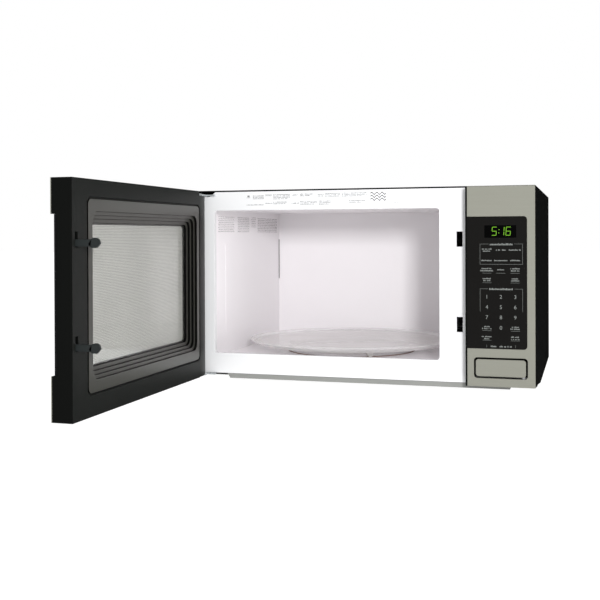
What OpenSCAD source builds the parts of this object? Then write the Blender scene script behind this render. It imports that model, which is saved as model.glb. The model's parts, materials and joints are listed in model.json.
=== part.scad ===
// Countertop microwave oven with its door open.
// Working frame: x to the right from the cabinet's left side, y back from the front plate,
// z up from the front plate's lower edge. place() moves it to the part's own origin.

/* [Cabinet] */
// Width of the cabinet
body_w = 552; // [540:1:570]
// Depth of the cabinet behind the front plate
body_d = 468; // [460:1:500]
// Height of the case top above the front plate's lower edge
body_top = 298; // [296:1:310]
// Thickness of the sheet steel
sheet = 0.8; // [0.6:0.1:1]
// How far the case sides reach below the front plate
skirt_h = 14; // [12:1:18]
// Height of a foot
foot_h = 6; // [5:0.5:9]
// Radius of a foot
foot_r = 12; // [8:1:15]

/* [Cavity] */
// Width of the opening in the front plate
mouth_w = 369.4; // [350:0.1:372]
// Height of the opening in the front plate
mouth_h = 233; // [220:1:234]
// Height of the opening's lower edge
mouth_z = 32.5; // [30:0.5:34]
// Middle of the cavity across the cabinet
cavity_x = 223.2; // [222:0.1:224]
// Width inside the cavity
cavity_w = 392; // [386:1:394]
// Depth inside the cavity
cavity_d = 376; // [370:1:380]
// Height of the cavity floor
floor_z = 22; // [21:0.5:24]
// Height of the cavity ceiling
ceiling_z = 268; // [266.5:0.5:272]

/* [Door] */
// Width of the door
door_w = 446.5; // [440:0.5:447]
// Height of the door
door_h = 295; // [294:0.5:296]
// Thickness of the door
door_t = 29.5; // [28:0.5:30]
// Height of the glass part of the door face
glass_h = 195; // [190:1:200]

/* [Control panel] */
// Width of the control panel
panel_w = 101; // [98:0.5:102]
// Height of the control panel
panel_h = 296; // [290:0.5:296]
// Width of the door button
button_w = 72.5; // [60:0.5:74]
// Height of the door button
button_h = 25.3; // [20:0.1:27]
// Travel of the door button
button_travel = 5; // [3:0.5:5]

/* [Turntable] */
// Radius of the glass tray
tray_r = 178; // [150:1:180]
// Diameter of a roller ring wheel
wheel_d = 13; // [11:0.5:14]

/* [Hidden] */
$fn = 64;

eps = 0.01;
play = 0.3;

// Door hinge: the open door's free end lies door_x + door_w in front of the plate
door_open = 90;
pivot_x = 19.5;
pivot_y = -19.5;
door_gap = 1.5;
door_x = 1;

// The part's origin is under the middle of its box, door open, on the feet's plane
rest_z = -skirt_h - foot_h;
gland_out = 5.6;
centre_y = (body_d + gland_out - door_x - door_w) / 2;

// Panels and their shared edges
panel_x = body_w - panel_w;
panel_y = -31;
glass_z = 56;
band_t = 1.2;
glass_set_back = 2;
door_glass_t = 3.2;
plate_t = 1;
plate_top = body_top - 2.4;
base_z = -8.2;
wall_in_x = cavity_x - cavity_w / 2;
wall_out_x = cavity_x + cavity_w / 2;
mouth_x = cavity_x - mouth_w / 2;
tray_y = 188;

// Latch
hook_x = 435.2;
hook_t = 4.2;
slot_x = 434.3;
slot_w = 9;
slot_h = 23;
hook_zs = [211.8, 85.8];
slot_zs = [206.2, 76.4];
hook_reach = 32.5;

// Door recess and groove, in the closed door's own plane
groove = [58.5, 27, 353, 246];
inset = [61, 29.5, 348, 241];
recess = [70, 45, 328, 210];
end_recess = 5;
end_recess_t = 8;
steps = [[0, 4, 12], [4.5, 8, 11], [9, 12, 10], [14, 16.5, 8]];
hinge_stile_x = 59;
stile_top = 288.2;
stile_foot = 0.6;
nose_r = 106;

module place() translate([-body_w / 2, -centre_y, -rest_z]) children();
// Turns what is built on the closed door to where the door stands open
module on_door() {
    translate([pivot_x, pivot_y, 0])
        rotate([0, 0, -door_open])
            translate([-pivot_x, -pivot_y, 0])
                children();
}
// A slab across x and z, from y to y + t, given as [x, z, width, height]
module slab(r, y, t) translate([r[0], y, r[1]]) cube([r[2], t, r[3]]);
module round_slab(r, y, t, rad) {
    translate([r[0], y + t, r[1]])
        rotate([90, 0, 0])
            linear_extrude(t)
                round_rect(r[2], r[3], rad);
}
module round_rect(w, h, rad) {
    translate([rad, 0]) square([w - 2 * rad, h]);
    translate([0, rad]) square([w, h - 2 * rad]);
    for (x = [rad, w - rad], y = [rad, h - rad])
        translate([x, y]) circle(rad);
}
function grown(r, g) = [r[0] - g, r[1] - g, r[2] + 2 * g, r[3] + 2 * g];
// Cylinders along each axis
module rod_y(x, y, z, r, l) translate([x, y, z]) rotate([-90, 0, 0]) cylinder(r = r, h = l);
module rod_x(x, y, z, r, l) translate([x, y, z]) rotate([0, 90, 0]) cylinder(r = r, h = l);
module tube(r_out, r_in, h) {
    difference() {
        cylinder(r = r_out, h = h);
        translate([0, 0, -1]) cylinder(r = r_in, h = h + 2);
    }
}

// ---- cabinet shell ----

module outer_case() {
    color([0.04, 0.04, 0.045]) {
        difference() {
            translate([0, 0.2, -skirt_h]) cube([body_w, body_d - 1.4, body_top + skirt_h]);
            translate([sheet, 7, -skirt_h - 1])
                cube([body_w - 2 * sheet, body_d, body_top + skirt_h + 1 - sheet]);
            // rolled front hem, a little thicker than the sheet along the top
            translate([sheet, -1, -skirt_h - 1])
                cube([body_w - 2 * sheet, 9, plate_top + skirt_h + 1.2]);
            // the skirt rises towards the front
            translate([-1, 0, 0])
                rotate([90, 0, 90])
                    linear_extrude(body_w + 2)
                        polygon([[-1, -0.4], [skirt_rise_y, -skirt_h], [skirt_rise_y, -skirt_h - 1],
                                 [-1, -skirt_h - 1]]);
        }
        for (x = [sheet - eps, body_w - sheet - 9 + eps])
            difference() {
                translate([x, body_d - 2, -skirt_h]) cube([9, sheet, body_top + skirt_h - 1]);
                for (z = flange_screw_zs) rod_y(x + 4.5, body_d - 4, z, 2, 5);
            }
    }
}

skirt_rise_y = 125;
rear_in = 2;
flange_screw_zs = [20, 150, 280];
flange_screw_xs = [5.3, body_w - 5.3];
module rear_panel() {
    slot_pitch = 9;
    color([0.72, 0.73, 0.74])
        difference() {
            translate([rear_in, body_d - 3.2, base_z - 4])
                cube([body_w - 2 * rear_in, sheet, body_top - base_z + 2]);
            for (x = flange_screw_xs, z = flange_screw_zs) rod_y(x, body_d - 6, z, 2, 8);
            for (i = [0:12], row = [0:3])
                translate([425 + i * slot_pitch, body_d - 5, 60 + row * 34]) cube([4, 6, 26]);
            for (i = [0:8], row = [0:1])
                translate([60 + i * slot_pitch, body_d - 5, 200 + row * 34]) cube([4, 6, 26]);
            rod_y(gland_at[0], body_d - 6, gland_at[1], 9.2, 10);
        }
}
gland_at = [505, 262];

mount_screws = [[445.8, 170], [528.2, 170], [445.8, 240], [528.2, 240]];
module base_plate() {
    flange_l = 60;
    flange_r = 513;
    pan_y = 34;
    color([0.62, 0.63, 0.62]) {
        difference() {
            union() {
                translate([sheet + play, pan_y, base_z])
                    cube([body_w - 2 * (sheet + play), body_d - 4.6 - pan_y, sheet]);
                translate([flange_l + 5, 2, base_z]) cube([flange_r - flange_l - 5, pan_y, sheet]);
            }
            for (p = mount_screws) translate([p[0], p[1], base_z - 1]) cylinder(r = 2, h = 4);
        }
        // front flange with its slanted end
        translate([0, 2 + sheet, 0])
            rotate([90, 0, 0])
                linear_extrude(sheet)
                    polygon([[flange_l, -0.6], [flange_r, -0.6], [flange_r, base_z], [flange_l + 5, base_z]]);
        translate([rear_in + play, body_d - 4.8, base_z])
            cube([body_w - 2 * (rear_in + play), sheet, 12]);
    }
}

foot_xs = [70, body_w - 70];
foot_ys = [92, body_d - 55];
module feet() {
    color([0.06, 0.06, 0.06])
        for (x = foot_xs, y = foot_ys)
            translate([x, y, rest_z]) cylinder(r1 = foot_r - 1.5, r2 = foot_r, h = base_z - rest_z);
}

module front_plate() {
    color([0.95, 0.95, 0.96])
        difference() {
            translate([1, 0, 0]) cube([body_w - 2, plate_t, plate_top]);
            round_slab([mouth_x, mouth_z, mouth_w, mouth_h], -1, plate_t + 2, 5);
            for (z = slot_zs) slab([slot_x, z, slot_w, slot_h], -1, plate_t + 2);
            translate([-1, -1, 288]) cube([31.6, 4, 20]);
            translate([30.6, -1, 288]) rotate([0, -36, 0]) cube([30, 4, 30]);
            // behind the control panel: one hole for the wiring, one for the button
            slab([panel_x + 20, 120, 60, 40], -1, plate_t + 2);
            slab([panel_x + 8, 12, 86, 46], -1, plate_t + 2);
        }
}

// ---- cavity ----

module cavity_left_wall() {
    color([0.93, 0.91, 0.92])
        translate([wall_in_x - sheet, plate_t, floor_z]) cube([sheet, cavity_d, ceiling_z - floor_z]);
}
guide_z = 150;
guide_y = 210;
module cavity_right_wall() {
    color([0.93, 0.91, 0.92])
        difference() {
            translate([wall_out_x, plate_t, floor_z]) cube([sheet, cavity_d, ceiling_z - floor_z]);
            translate([wall_out_x - 1, guide_y - 45, guide_z - 25]) cube([3, 90, 60]);
            rod_x(wall_out_x - 1, 330, 225, 8, 3);
        }
}
module cavity_roof() {
    color([0.93, 0.91, 0.92])
        translate([wall_in_x - sheet, plate_t, ceiling_z])
            cube([cavity_w + 2 * sheet, cavity_d + sheet, sheet]);
}
module cavity_floor() {
    color([0.93, 0.91, 0.92])
        difference() {
            translate([wall_in_x - sheet, plate_t, floor_z - sheet])
                cube([cavity_w + 2 * sheet, cavity_d + sheet, sheet]);
            translate([cavity_x, tray_y, floor_z - 2]) cylinder(r = 7, h = 4);
        }
}
module cavity_back_wall() {
    color([0.95, 0.93, 0.94])
        translate([wall_in_x - sheet, plate_t + cavity_d, floor_z])
            cube([cavity_w + 2 * sheet, sheet, ceiling_z - floor_z]);
}

// ---- hinges ----

pin_r = 3;
bush_r = 5.5;
press = 0.02;
run_fit = 0.05;
module hinge_leaf(z) {
    translate([pivot_x, pivot_y, z]) cylinder(r = 9, h = 2.5);
    translate([pivot_x - 9, pivot_y, z]) cube([18, 23, 2.5]);
    translate([pivot_x, -6, z]) cube([22, 5.7, 2.5]);
}
module upper_hinge_bracket() {
    color([0.75, 0.76, 0.78])
        difference() {
            union() {
                hinge_leaf(289);
                translate([pivot_x - 9, plate_t + eps, 254]) cube([14, 1.6, 37.5]);
            }
            translate([pivot_x, pivot_y, 285]) cylinder(r = pin_r - press, h = 10);
            for (z = [262, 278]) rod_y(pivot_x - 2, 0, z, 2, 5);
        }
}
module lower_hinge_bracket() {
    color([0.75, 0.76, 0.78])
        difference() {
            union() {
                hinge_leaf(-2.8);
                translate([pivot_x - 9, plate_t + eps, -2.8]) cube([14, 1.6, 34]);
            }
            translate([pivot_x, pivot_y, -6]) cylinder(r = pin_r - press, h = 10);
            for (z = [10, 24]) rod_y(pivot_x - 2, 0, z, 2, 5);
        }
}
module hinge_pins() {
    color([0.8, 0.81, 0.83])
        translate([pivot_x, pivot_y, 0]) {
            translate([0, 0, 276]) cylinder(r = pin_r, h = 15.5);
            translate([0, 0, 291.5]) cylinder(r = 5, h = 1.4);
            translate([0, 0, -2.8]) cylinder(r = pin_r, h = 15.5);
            translate([0, 0, -4.2]) cylinder(r = 5, h = 1.4);
        }
}
module hinge_bushes() {
    color([0.85, 0.84, 0.8])
        on_door()
            translate([pivot_x, pivot_y, 0])
                for (z = [stile_foot, stile_top - 14])
                    translate([0, 0, z]) tube(bush_r, pin_r + run_fit, 14);
}

// ---- door, built closed and turned open ----

// Plan of the door: flat inner face, long curve towards the hinge, rounded nose
module door_plan() {
    nose = 8;
    translate([hinge_stile_x, panel_y]) square([door_x + door_w - hinge_stile_x, door_t]);
    intersection() {
        translate([door_x, panel_y]) square([hinge_stile_x - door_x + eps, door_t]);
        translate([hinge_stile_x, -door_gap - nose_r]) circle(r = nose_r, $fn = 200);
        union() {
            translate([door_x + nose, panel_y]) square([hinge_stile_x, door_t]);
            translate([door_x, panel_y + nose]) square([hinge_stile_x, door_t]);
            translate([door_x + nose, panel_y + nose]) circle(nose);
        }
    }
}
module door_frame() {
    color([0.07, 0.07, 0.075])
        on_door()
            difference() {
                linear_extrude(door_h) door_plan();
                // set back behind the steel bands, and further behind the glass
                translate([-5, panel_y - 1, -1]) cube([600, band_t + 1, door_h + 2]);
                translate([-5, panel_y - 1, glass_z])
                    cube([600, glass_set_back + door_glass_t + 1, glass_h]);
                // window through the door
                round_slab(grown(recess, -14), panel_y - 5, door_t + 10, 8);
                // seat of the inner panel
                round_slab(groove, -door_gap - 3, 5, 8);
                round_slab(grown(inset, -4), -door_gap - 19, 17, 8);
                // hinge corner is cut back above and below the stile
                translate([-1, panel_y - 5, stile_top]) cube([hinge_stile_x + 1, 50, 20]);
                translate([-1, panel_y - 5, -1]) cube([hinge_stile_x + 1, 50, 1 + stile_foot]);
                translate([pivot_x, pivot_y, -1]) cylinder(r = bush_r, h = 20.6);
                translate([pivot_x, pivot_y, stile_top - 18]) cylinder(r = bush_r, h = 20);
                // free end is cut back between the bands
                translate([door_x + door_w - end_recess, panel_y - 1, glass_z])
                    cube([10, end_recess_t + 1, glass_h]);
                // way for the latch bar and its two hooks
                slab([hook_x - 3, 60, hook_t + 6, 190], -door_gap - 15, 12);
                for (z = hook_zs) slab([hook_x - 0.9, z - 1.2, hook_t + 1.8, 19], -5, 10);
            }
}
module door_band(z, h) {
    color([0.66, 0.65, 0.62])
        on_door()
            difference() {
                intersection() {
                    translate([0, 0, z]) linear_extrude(h) door_plan();
                    translate([-5, panel_y - 1, z - 1]) cube([600, band_t + 1 - eps, h + 2]);
                }
                translate([-5, panel_y - 5, stile_top]) cube([hinge_stile_x - 34, 50, 20]);
            }
}
module door_top_band() door_band(glass_z + glass_h, door_h - glass_z - glass_h);
module door_bottom_band() door_band(0, glass_z);
module door_outer_glass() {
    color([0.02, 0.02, 0.022, 0.85])
        on_door()
            intersection() {
                translate([0, 0, glass_z + 0.2]) linear_extrude(glass_h - 0.4) door_plan();
                translate([0, panel_y + glass_set_back, 0])
                    cube([door_x + door_w - end_recess, door_glass_t - eps, door_h]);
            }
}
module door_mesh_screen() {
    color([0.45, 0.46, 0.45])
        on_door()
            round_slab(grown(inset, -4.4), -door_gap - 18.6, 0.6, 8);
}
module door_inner_panel() {
    color([0.42, 0.42, 0.40])
        on_door()
            difference() {
                union() {
                    round_slab(inset, -door_gap - 2.6, 2.6, 7);
                    round_slab(grown(inset, -4.4), -door_gap - 17.8, 17.8, 8);
                }
                for (s = steps)
                    round_slab(grown(recess, -s[0]), -door_gap - s[1], 30, s[2]);
                round_slab(grown(recess, -16), -door_gap - 25, 30, 7);
            }
}
module door_inner_window() {
    color([0.6, 0.62, 0.62, 0.3])
        on_door()
            round_slab(grown(recess, -14.4), -door_gap - 16.4, 0.8, 8);
}
latch_bar_y = -door_gap - 9;
module latch_hooks() {
    color([0.12, 0.12, 0.13])
        on_door() {
            slab([hook_x, 68, hook_t, 166], latch_bar_y - 4, 5.4);
            for (z = hook_zs) {
                slab([hook_x, z, hook_t, 8.5], latch_bar_y, hook_reach + 9 - 8);
                difference() {
                    rod_x(hook_x, hook_reach - door_gap - 6.5, z + 4.2, 6.4, hook_t);
                    slab([hook_x - 1, z + 4.2 - 9, hook_t + 2, 2.7], hook_reach - door_gap - 15, 20);
                }
            }
        }
}
module latch_spring() {
    color([0.7, 0.7, 0.7])
        on_door()
            translate([hook_x + hook_t / 2, latch_bar_y - 1.4, 234.2])
                tube(2.6, 1.9, 15.6);
}

// ---- control panel ----

fascia_t = 1.2;
face_x = panel_x + 2.6;
glass_w = 86.8;
button_x = 466;
button_z = 15;
pocket = [button_x - 2.6, button_z - 2.6, button_w + 5.2, button_h + 5.2];
display = [479, 219.6, 46.2, 18.4];
module control_housing() {
    wall = 2.2;
    color([0.05, 0.05, 0.055])
        difference() {
            translate([panel_x, panel_y + fascia_t, 0])
                cube([panel_w, -panel_y - fascia_t - 0.2, panel_h]);
            translate([panel_x + wall, panel_y + fascia_t + wall, wall])
                cube([panel_w - 2 * wall, 40, panel_h - 2 * wall]);
            slab([470, 60, 68, 186], panel_y, 8);
            round_slab(pocket, panel_y - 1, 8, 5);
        }
    color([0.05, 0.05, 0.055])
        difference() {
            // seat of the button's spring
            slab([panel_x + wall - eps, button_z - 3, panel_w - 2 * wall + 2 * eps, 40], -2.8, 2);
            slab([button_x + 2, button_z + 7, 16, 12], -5, 6);
        }
    color([0.05, 0.05, 0.055])
        translate([panel_x, panel_y, 0]) cube([face_x - panel_x - eps, fascia_t + eps, panel_h]);
}
module control_fascia() {
    color([0.66, 0.65, 0.62])
        difference() {
            slab([face_x, 0, body_w - face_x, panel_h], panel_y, fascia_t);
            round_slab([face_x - 10, glass_z, glass_w + 10, glass_h], panel_y - 1, 4, 5);
            round_slab(pocket, panel_y - 1, 4, 5);
        }
}
module keypad_overlay() {
    color([0.015, 0.015, 0.017])
        intersection() {
            round_slab([face_x - 9.9, glass_z + 0.1, glass_w + 9.8, glass_h - 0.2], panel_y, fascia_t, 5);
            slab([face_x, glass_z, 100, glass_h], panel_y - 1, 5);
        }
}
module keypad_membrane() {
    color([0.3, 0.45, 0.3])
        slab([471, 62, 66, 150], panel_y + fascia_t, 0.6);
}
module display_module() {
    color([0.05, 0.08, 0.07])
        slab(grown(display, 2), panel_y + fascia_t, 7);
}
module control_board() {
    board_y = panel_y + fascia_t + 9;
    color([0.1, 0.35, 0.15]) {
        slab([460, 66, 84, 176], board_y, 1.6);
        slab([466, 80, 18, 22], board_y + 1.6, 12);
        slab([500, 84, 30, 26], board_y + 1.6, 15);
        for (z = [130, 150, 170]) rod_y(478, board_y + 1.6, z, 6, 14);
        slab([496, 130, 26, 40], board_y + 1.6, 4);
    }
}
module door_button_cap() {
    color([0.68, 0.67, 0.64])
        round_slab([button_x, button_z, button_w, button_h], panel_y, 1.2, 4);
}
stem_end = 4.6;
module door_button_plunger() {
    color([0.1, 0.1, 0.1]) {
        round_slab(grown([button_x, button_z, button_w, button_h], -0.6), panel_y + 1.2, 6.8, 3.6);
        slab([button_x + 4, button_z + 9, 12, 8], panel_y + 7.9, stem_end - panel_y - 7.9);
        rod_y(button_x + 40, panel_y + 7.9, button_z + 12.6, 2.8, 8);
    }
}
module button_spring() {
    color([0.7, 0.7, 0.7])
        translate([button_x + 40, panel_y + 8.2, button_z + 12.6])
            rotate([-90, 0, 0]) tube(4, 3.2, 20);
}
lever_y = 9;
lever_z = 56;
lever_pin_r = 1.95;
module release_lever() {
    color([0.85, 0.85, 0.83])
        difference() {
            union() {
                rod_x(434.4, lever_y, lever_z, 4, 52);
                translate([471, lever_y - 4, lever_z - 32]) cube([10, 4, 32]);
                translate([434.4, lever_y, lever_z - 3]) cube([9, 18, 4]);
                translate([434.4, lever_y + 14, lever_z - 1]) cube([9, 4, 3.4]);
            }
            rod_x(430, lever_y, lever_z, lever_pin_r + run_fit, 60);
        }
}
module lever_pin() {
    color([0.8, 0.81, 0.83]) rod_x(431.6, lever_y, lever_z, lever_pin_r, 58);
}
module latch_lifter() {
    foot_gap = 3.2;
    color([0.85, 0.85, 0.83]) {
        translate([442.2, 24, lever_z + foot_gap]) cube([3.2, 4, 149]);
        translate([434.6, 24, lever_z + foot_gap]) cube([10.8, 4, 3]);
        for (z = hook_zs) translate([434.6, 24, z - 8]) cube([8, 4, 3]);
    }
}
module latch_board() {
    color([0.88, 0.88, 0.86])
        difference() {
            union() {
                translate([447, plate_t, 66]) cube([2.6, 54, 184]);
                for (z = slot_zs) translate([433.6, 5, z - 6]) cube([13.5, 14, 4.5]);
                // foot that carries the lever between two ears
                translate([431.4, plate_t, 44]) cube([58.4, 2.4, 26]);
                for (x = [431.4, 487.2]) translate([x, plate_t, 50]) cube([2.6, 12, 12]);
                // guides for the lifter
                for (z = [110, 180], y = [21.8, 28.4]) translate([441.6, y, z]) cube([6, 1.8, 8]);
            }
            rod_x(430, lever_y, lever_z, lever_pin_r - press, 62);
        }
}
module interlock_switches() {
    color([0.15, 0.15, 0.17])
        for (z = [hook_zs[0] - 2, hook_zs[1] - 2, hook_zs[1] + 40]) {
            translate([436.8, 37, z]) cube([10.2, 16, 20]);
            rod_y(441, 34.6, z + 10, 1.2, 3);
        }
}

// ---- microwave generator and electrics ----

mag = [491, 210, 165];
module magnetron() {
    color([0.7, 0.7, 0.7]) {
        for (i = [0:6]) translate([mag[0] - 30 + i * 8, mag[1] - 40, mag[2] - 26]) cube([1.2, 80, 52]);
        rod_x(mag[0] - 36, mag[1], mag[2], 18, 62);
        difference() {
            translate([mag[0] - 36, mag[1] - 43, mag[2] - 30]) cube([60, 86, 60]);
            translate([mag[0] - 34, mag[1] - 45, mag[2] - 26]) cube([56, 90, 52]);
        }
        rod_x(mag[0] - 56, mag[1], mag[2], 9, 20);
        translate([mag[0] + 24, mag[1] - 20, mag[2] - 18]) cube([28, 40, 36]);
    }
}
module waveguide() {
    x = wall_out_x + sheet;
    color([0.76, 0.77, 0.78])
        difference() {
            translate([x, guide_y - 52, guide_z - 32]) cube([35, 104, 80]);
            translate([x - 1, guide_y - 50, guide_z - 30]) cube([35, 100, 76]);
            rod_x(x + 30, mag[1], mag[2], 12, 10);
        }
}
module waveguide_cover() {
    color([0.78, 0.72, 0.6])
        translate([wall_out_x - 1, guide_y - 52, guide_z - 32]) cube([0.9, 104, 74]);
}
trafo = [487, 205, base_z + sheet];
module transformer_core() {
    color([0.35, 0.35, 0.36])
        translate([trafo[0], trafo[1], trafo[2]]) {
            translate([-50, -41, 0]) cube([100, 12, 84]);
            translate([-50, 29, 0]) cube([100, 12, 84]);
            translate([-50, -41, 0]) cube([100, 82, 14]);
            translate([-50, -41, 70]) cube([100, 82, 14]);
            translate([-50, -12, 0]) cube([100, 24, 84]);
        }
}
module transformer_windings() {
    color([0.72, 0.36, 0.16])
        translate([trafo[0], trafo[1], trafo[2]])
            for (z = [15, 43])
                difference() {
                    translate([-61, -28, z]) cube([122, 56, 26]);
                    translate([-50.4, -12.4, z - 1]) cube([100.8, 24.8, 28]);
                }
}
cap = [478, 325, 60];
shroud_y = 396;
module capacitor() {
    color([0.8, 0.8, 0.82]) {
        translate([cap[0], cap[1], cap[2]]) {
            linear_extrude(82) {
                square([26, 36], center = true);
                for (s = [-1, 1]) translate([s * 13, 0]) circle(18);
            }
            for (s = [-1, 1]) translate([s * 10, 0, 82]) cylinder(r = 3, h = 8);
        }
    }
}
module capacitor_bracket() {
    color([0.76, 0.77, 0.78])
        translate([cap[0], cap[1], cap[2] + 30])
            linear_extrude(14)
                difference() {
                    union() {
                        square([26, 39], center = true);
                        for (s = [-1, 1]) translate([s * 13, 0]) circle(19.4);
                        translate([-4, 0]) square([8, shroud_y - cap[1]]);
                    }
                    square([26, 36.2], center = true);
                    for (s = [-1, 1]) translate([s * 13, 0]) circle(18.1);
                }
}
module noise_filter_board() {
    color([0.55, 0.45, 0.2]) {
        translate([440, 300, 240]) cube([95, 95, 1.6]);
        translate([440, 394.4, 228]) cube([95, 1.6, 39]);
        for (p = [[455, 320], [455, 355], [500, 330]])
            translate([p[0], p[1], 241.6]) cylinder(r = 10, h = 18);
        translate([485, 355, 241.6]) cube([34, 26, 16]);
    }
}

// ---- cooling fan ----

fan = [486, 405, 105];
fan_r = 54;
module fan_shroud() {
    color([0.55, 0.55, 0.53])
        difference() {
            union() {
                translate([424, shroud_y, base_z + sheet]) cube([124, 2, 275]);
                rod_y(fan[0], shroud_y + 1, fan[2], fan_r + 6, 23);
            }
            rod_y(fan[0], shroud_y - 5, fan[2], fan_r + 3, 40);
        }
}
module fan_motor() {
    color([0.4, 0.4, 0.42]) {
        translate([fan[0] - 24, 428, fan[2] - 28]) cube([48, 20, 56]);
        rod_y(fan[0], 424, fan[2], 12, 28);
        rod_y(fan[0], 404, fan[2], 2, 30);
        for (s = [-1, 1])
            translate([fan[0] + s * 58 - 4, 420, fan[2] - 5]) cube([8, 12, 10]);
        translate([fan[0] - 62, 430, fan[2] - 5]) cube([124, 2, 10]);
    }
}
module fan_blade() {
    blades = 6;
    color([0.85, 0.85, 0.83])
        translate([fan[0], 402, fan[2]])
            rotate([-90, 0, 0]) {
                tube(9, 2.05, 17);
                for (i = [0:blades - 1])
                    rotate([0, 0, i * 360 / blades])
                        translate([7, 0, 8.5])
                            rotate([32, 0, 0])
                                translate([0, -11, -0.8])
                                    cube([fan_r - 9, 22, 1.6]);
            }
}

// ---- lamp, cut-outs, gland ----

module cavity_lamp() {
    color([0.9, 0.88, 0.8]) {
        rod_x(wall_out_x + sheet + 2, 330, 225, 9, 25);
        rod_x(wall_out_x + sheet + 27, 330, 225, 11, 16);
        translate([wall_out_x + sheet, 310, 211]) cube([2, 40, 28]);
    }
}
module thermal_cutouts() {
    color([0.2, 0.2, 0.22]) {
        translate([400, 120, ceiling_z + sheet]) cylinder(r = 8, h = 9);
        translate([mag[0] - 6, mag[1], mag[2] + 30]) cylinder(r = 8, h = 9);
    }
}
module cord_gland() {
    color([0.05, 0.05, 0.05])
        translate([gland_at[0], body_d + gland_out - 14, gland_at[1]])
            rotate([-90, 0, 0])
                difference() {
                    union() {
                        cylinder(r = 9, h = 14);
                        cylinder(r = 12, h = 5);
                        translate([0, 0, 6.4]) cylinder(r = 12, h = 3);
                    }
                    translate([0, 0, -1]) cylinder(r = 4, h = 20);
                }
}

// ---- turntable ----

hub_z = floor_z + 0.6;
tray_z = floor_z + wheel_d + 0.6;
module turntable_motor() {
    color([0.7, 0.7, 0.72])
        translate([cavity_x, tray_y, 0]) {
            translate([0, 0, 3]) cylinder(r = 25, h = floor_z - sheet - 3);
            translate([-30, -5, floor_z - sheet - 1.5]) cube([60, 10, 1.4]);
            translate([0, 0, floor_z - sheet]) cylinder(r = 3, h = 6);
        }
}
module drive_coupler() {
    color([0.9, 0.9, 0.88])
        translate([cavity_x, tray_y, hub_z])
            difference() {
                union() {
                    cylinder(r = 11, h = 7);
                    for (a = [0, 120, 240])
                        rotate([0, 0, a]) translate([0, -5, 0]) cube([18, 10, wheel_d - 1.6]);
                    translate([0, 0, -1]) cylinder(r = 6.6, h = 2);
                }
                translate([0, 0, -6]) cylinder(r = 3.05, h = 11.4);
            }
}
module glass_tray() {
    rim_h = 8;
    color([0.85, 0.9, 0.9, 0.35])
        translate([cavity_x, tray_y, tray_z])
            union() {
                rotate_extrude($fn = 160)
                    polygon([[0, 0], [tray_r - 9, 0], [tray_r, rim_h - 2], [tray_r, rim_h],
                             [tray_r - 3, rim_h], [tray_r - 11, 4.6], [0, 4.6]]);
                for (a = [60, 180, 300])
                    rotate([0, 0, a]) translate([13, -4, -4]) cube([8, 8, 4.5]);
            }
}
ring_r = 110;
wheel_t = 6;
module roller_ring() {
    color([0.9, 0.9, 0.9])
        translate([cavity_x, tray_y, floor_z + wheel_d / 2 + 0.3]) {
            translate([0, 0, -2.2]) tube(ring_r - 5.2, ring_r - 10, 4.4);
            for (a = [60, 180, 300])
                rotate([0, 0, a]) rod_x(ring_r - 9, 0, 0, 1.5, 14);
        }
}
module ring_wheel(a) {
    color([0.88, 0.88, 0.86])
        translate([cavity_x, tray_y, floor_z + wheel_d / 2 + 0.3])
            rotate([0, 0, a])
                translate([ring_r - wheel_t / 2, 0, 0])
                    rotate([0, 90, 0])
                        tube(wheel_d / 2, 1.56, wheel_t);
}
module ring_wheel_a() ring_wheel(60);
module ring_wheel_b() ring_wheel(180);
module ring_wheel_c() ring_wheel(300);

// ---- fasteners ----

module pan_screw(l) {
    cylinder(r = 3.8, h = 2.2);
    translate([0, 0, -l]) cylinder(r = 1.9, h = l);
}
module case_screws() {
    color([0.15, 0.15, 0.15])
        for (x = flange_screw_xs, z = flange_screw_zs)
            translate([x, body_d - 1.2, z]) rotate([-90, 0, 0]) pan_screw(6);
}
module chassis_screws() {
    color([0.75, 0.76, 0.78]) {
        for (z = [262, 278, 10, 24])
            translate([pivot_x - 2, 2.62, z]) rotate([-90, 0, 0]) pan_screw(1.4);
        for (p = mount_screws) translate([p[0], p[1], base_z]) mirror([0, 0, 1]) pan_screw(sheet);
    }
}

place() outer_case();
place() rear_panel();
place() base_plate();
place() feet();
place() front_plate();
place() cavity_left_wall();
place() cavity_right_wall();
place() cavity_roof();
place() cavity_floor();
place() cavity_back_wall();
place() upper_hinge_bracket();
place() lower_hinge_bracket();
place() hinge_pins();
place() door_frame();
place() door_top_band();
place() door_bottom_band();
place() door_outer_glass();
place() door_mesh_screen();
place() door_inner_panel();
place() door_inner_window();
place() hinge_bushes();
place() latch_hooks();
place() latch_spring();
place() control_housing();
place() control_fascia();
place() keypad_overlay();
place() keypad_membrane();
place() display_module();
place() control_board();
place() door_button_cap();
place() door_button_plunger();
place() button_spring();
place() release_lever();
place() lever_pin();
place() latch_lifter();
place() latch_board();
place() interlock_switches();
place() magnetron();
place() waveguide();
place() waveguide_cover();
place() transformer_core();
place() transformer_windings();
place() capacitor();
place() capacitor_bracket();
place() noise_filter_board();
place() fan_shroud();
place() fan_motor();
place() fan_blade();
place() cavity_lamp();
place() thermal_cutouts();
place() turntable_motor();
place() drive_coupler();
place() glass_tray();
place() roller_ring();
place() ring_wheel_a();
place() ring_wheel_b();
place() ring_wheel_c();
place() cord_gland();
place() case_screws();
place() chassis_screws();
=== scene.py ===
import json
import math
import random

import bmesh
import bpy
from mathutils import Matrix, Vector


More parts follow.
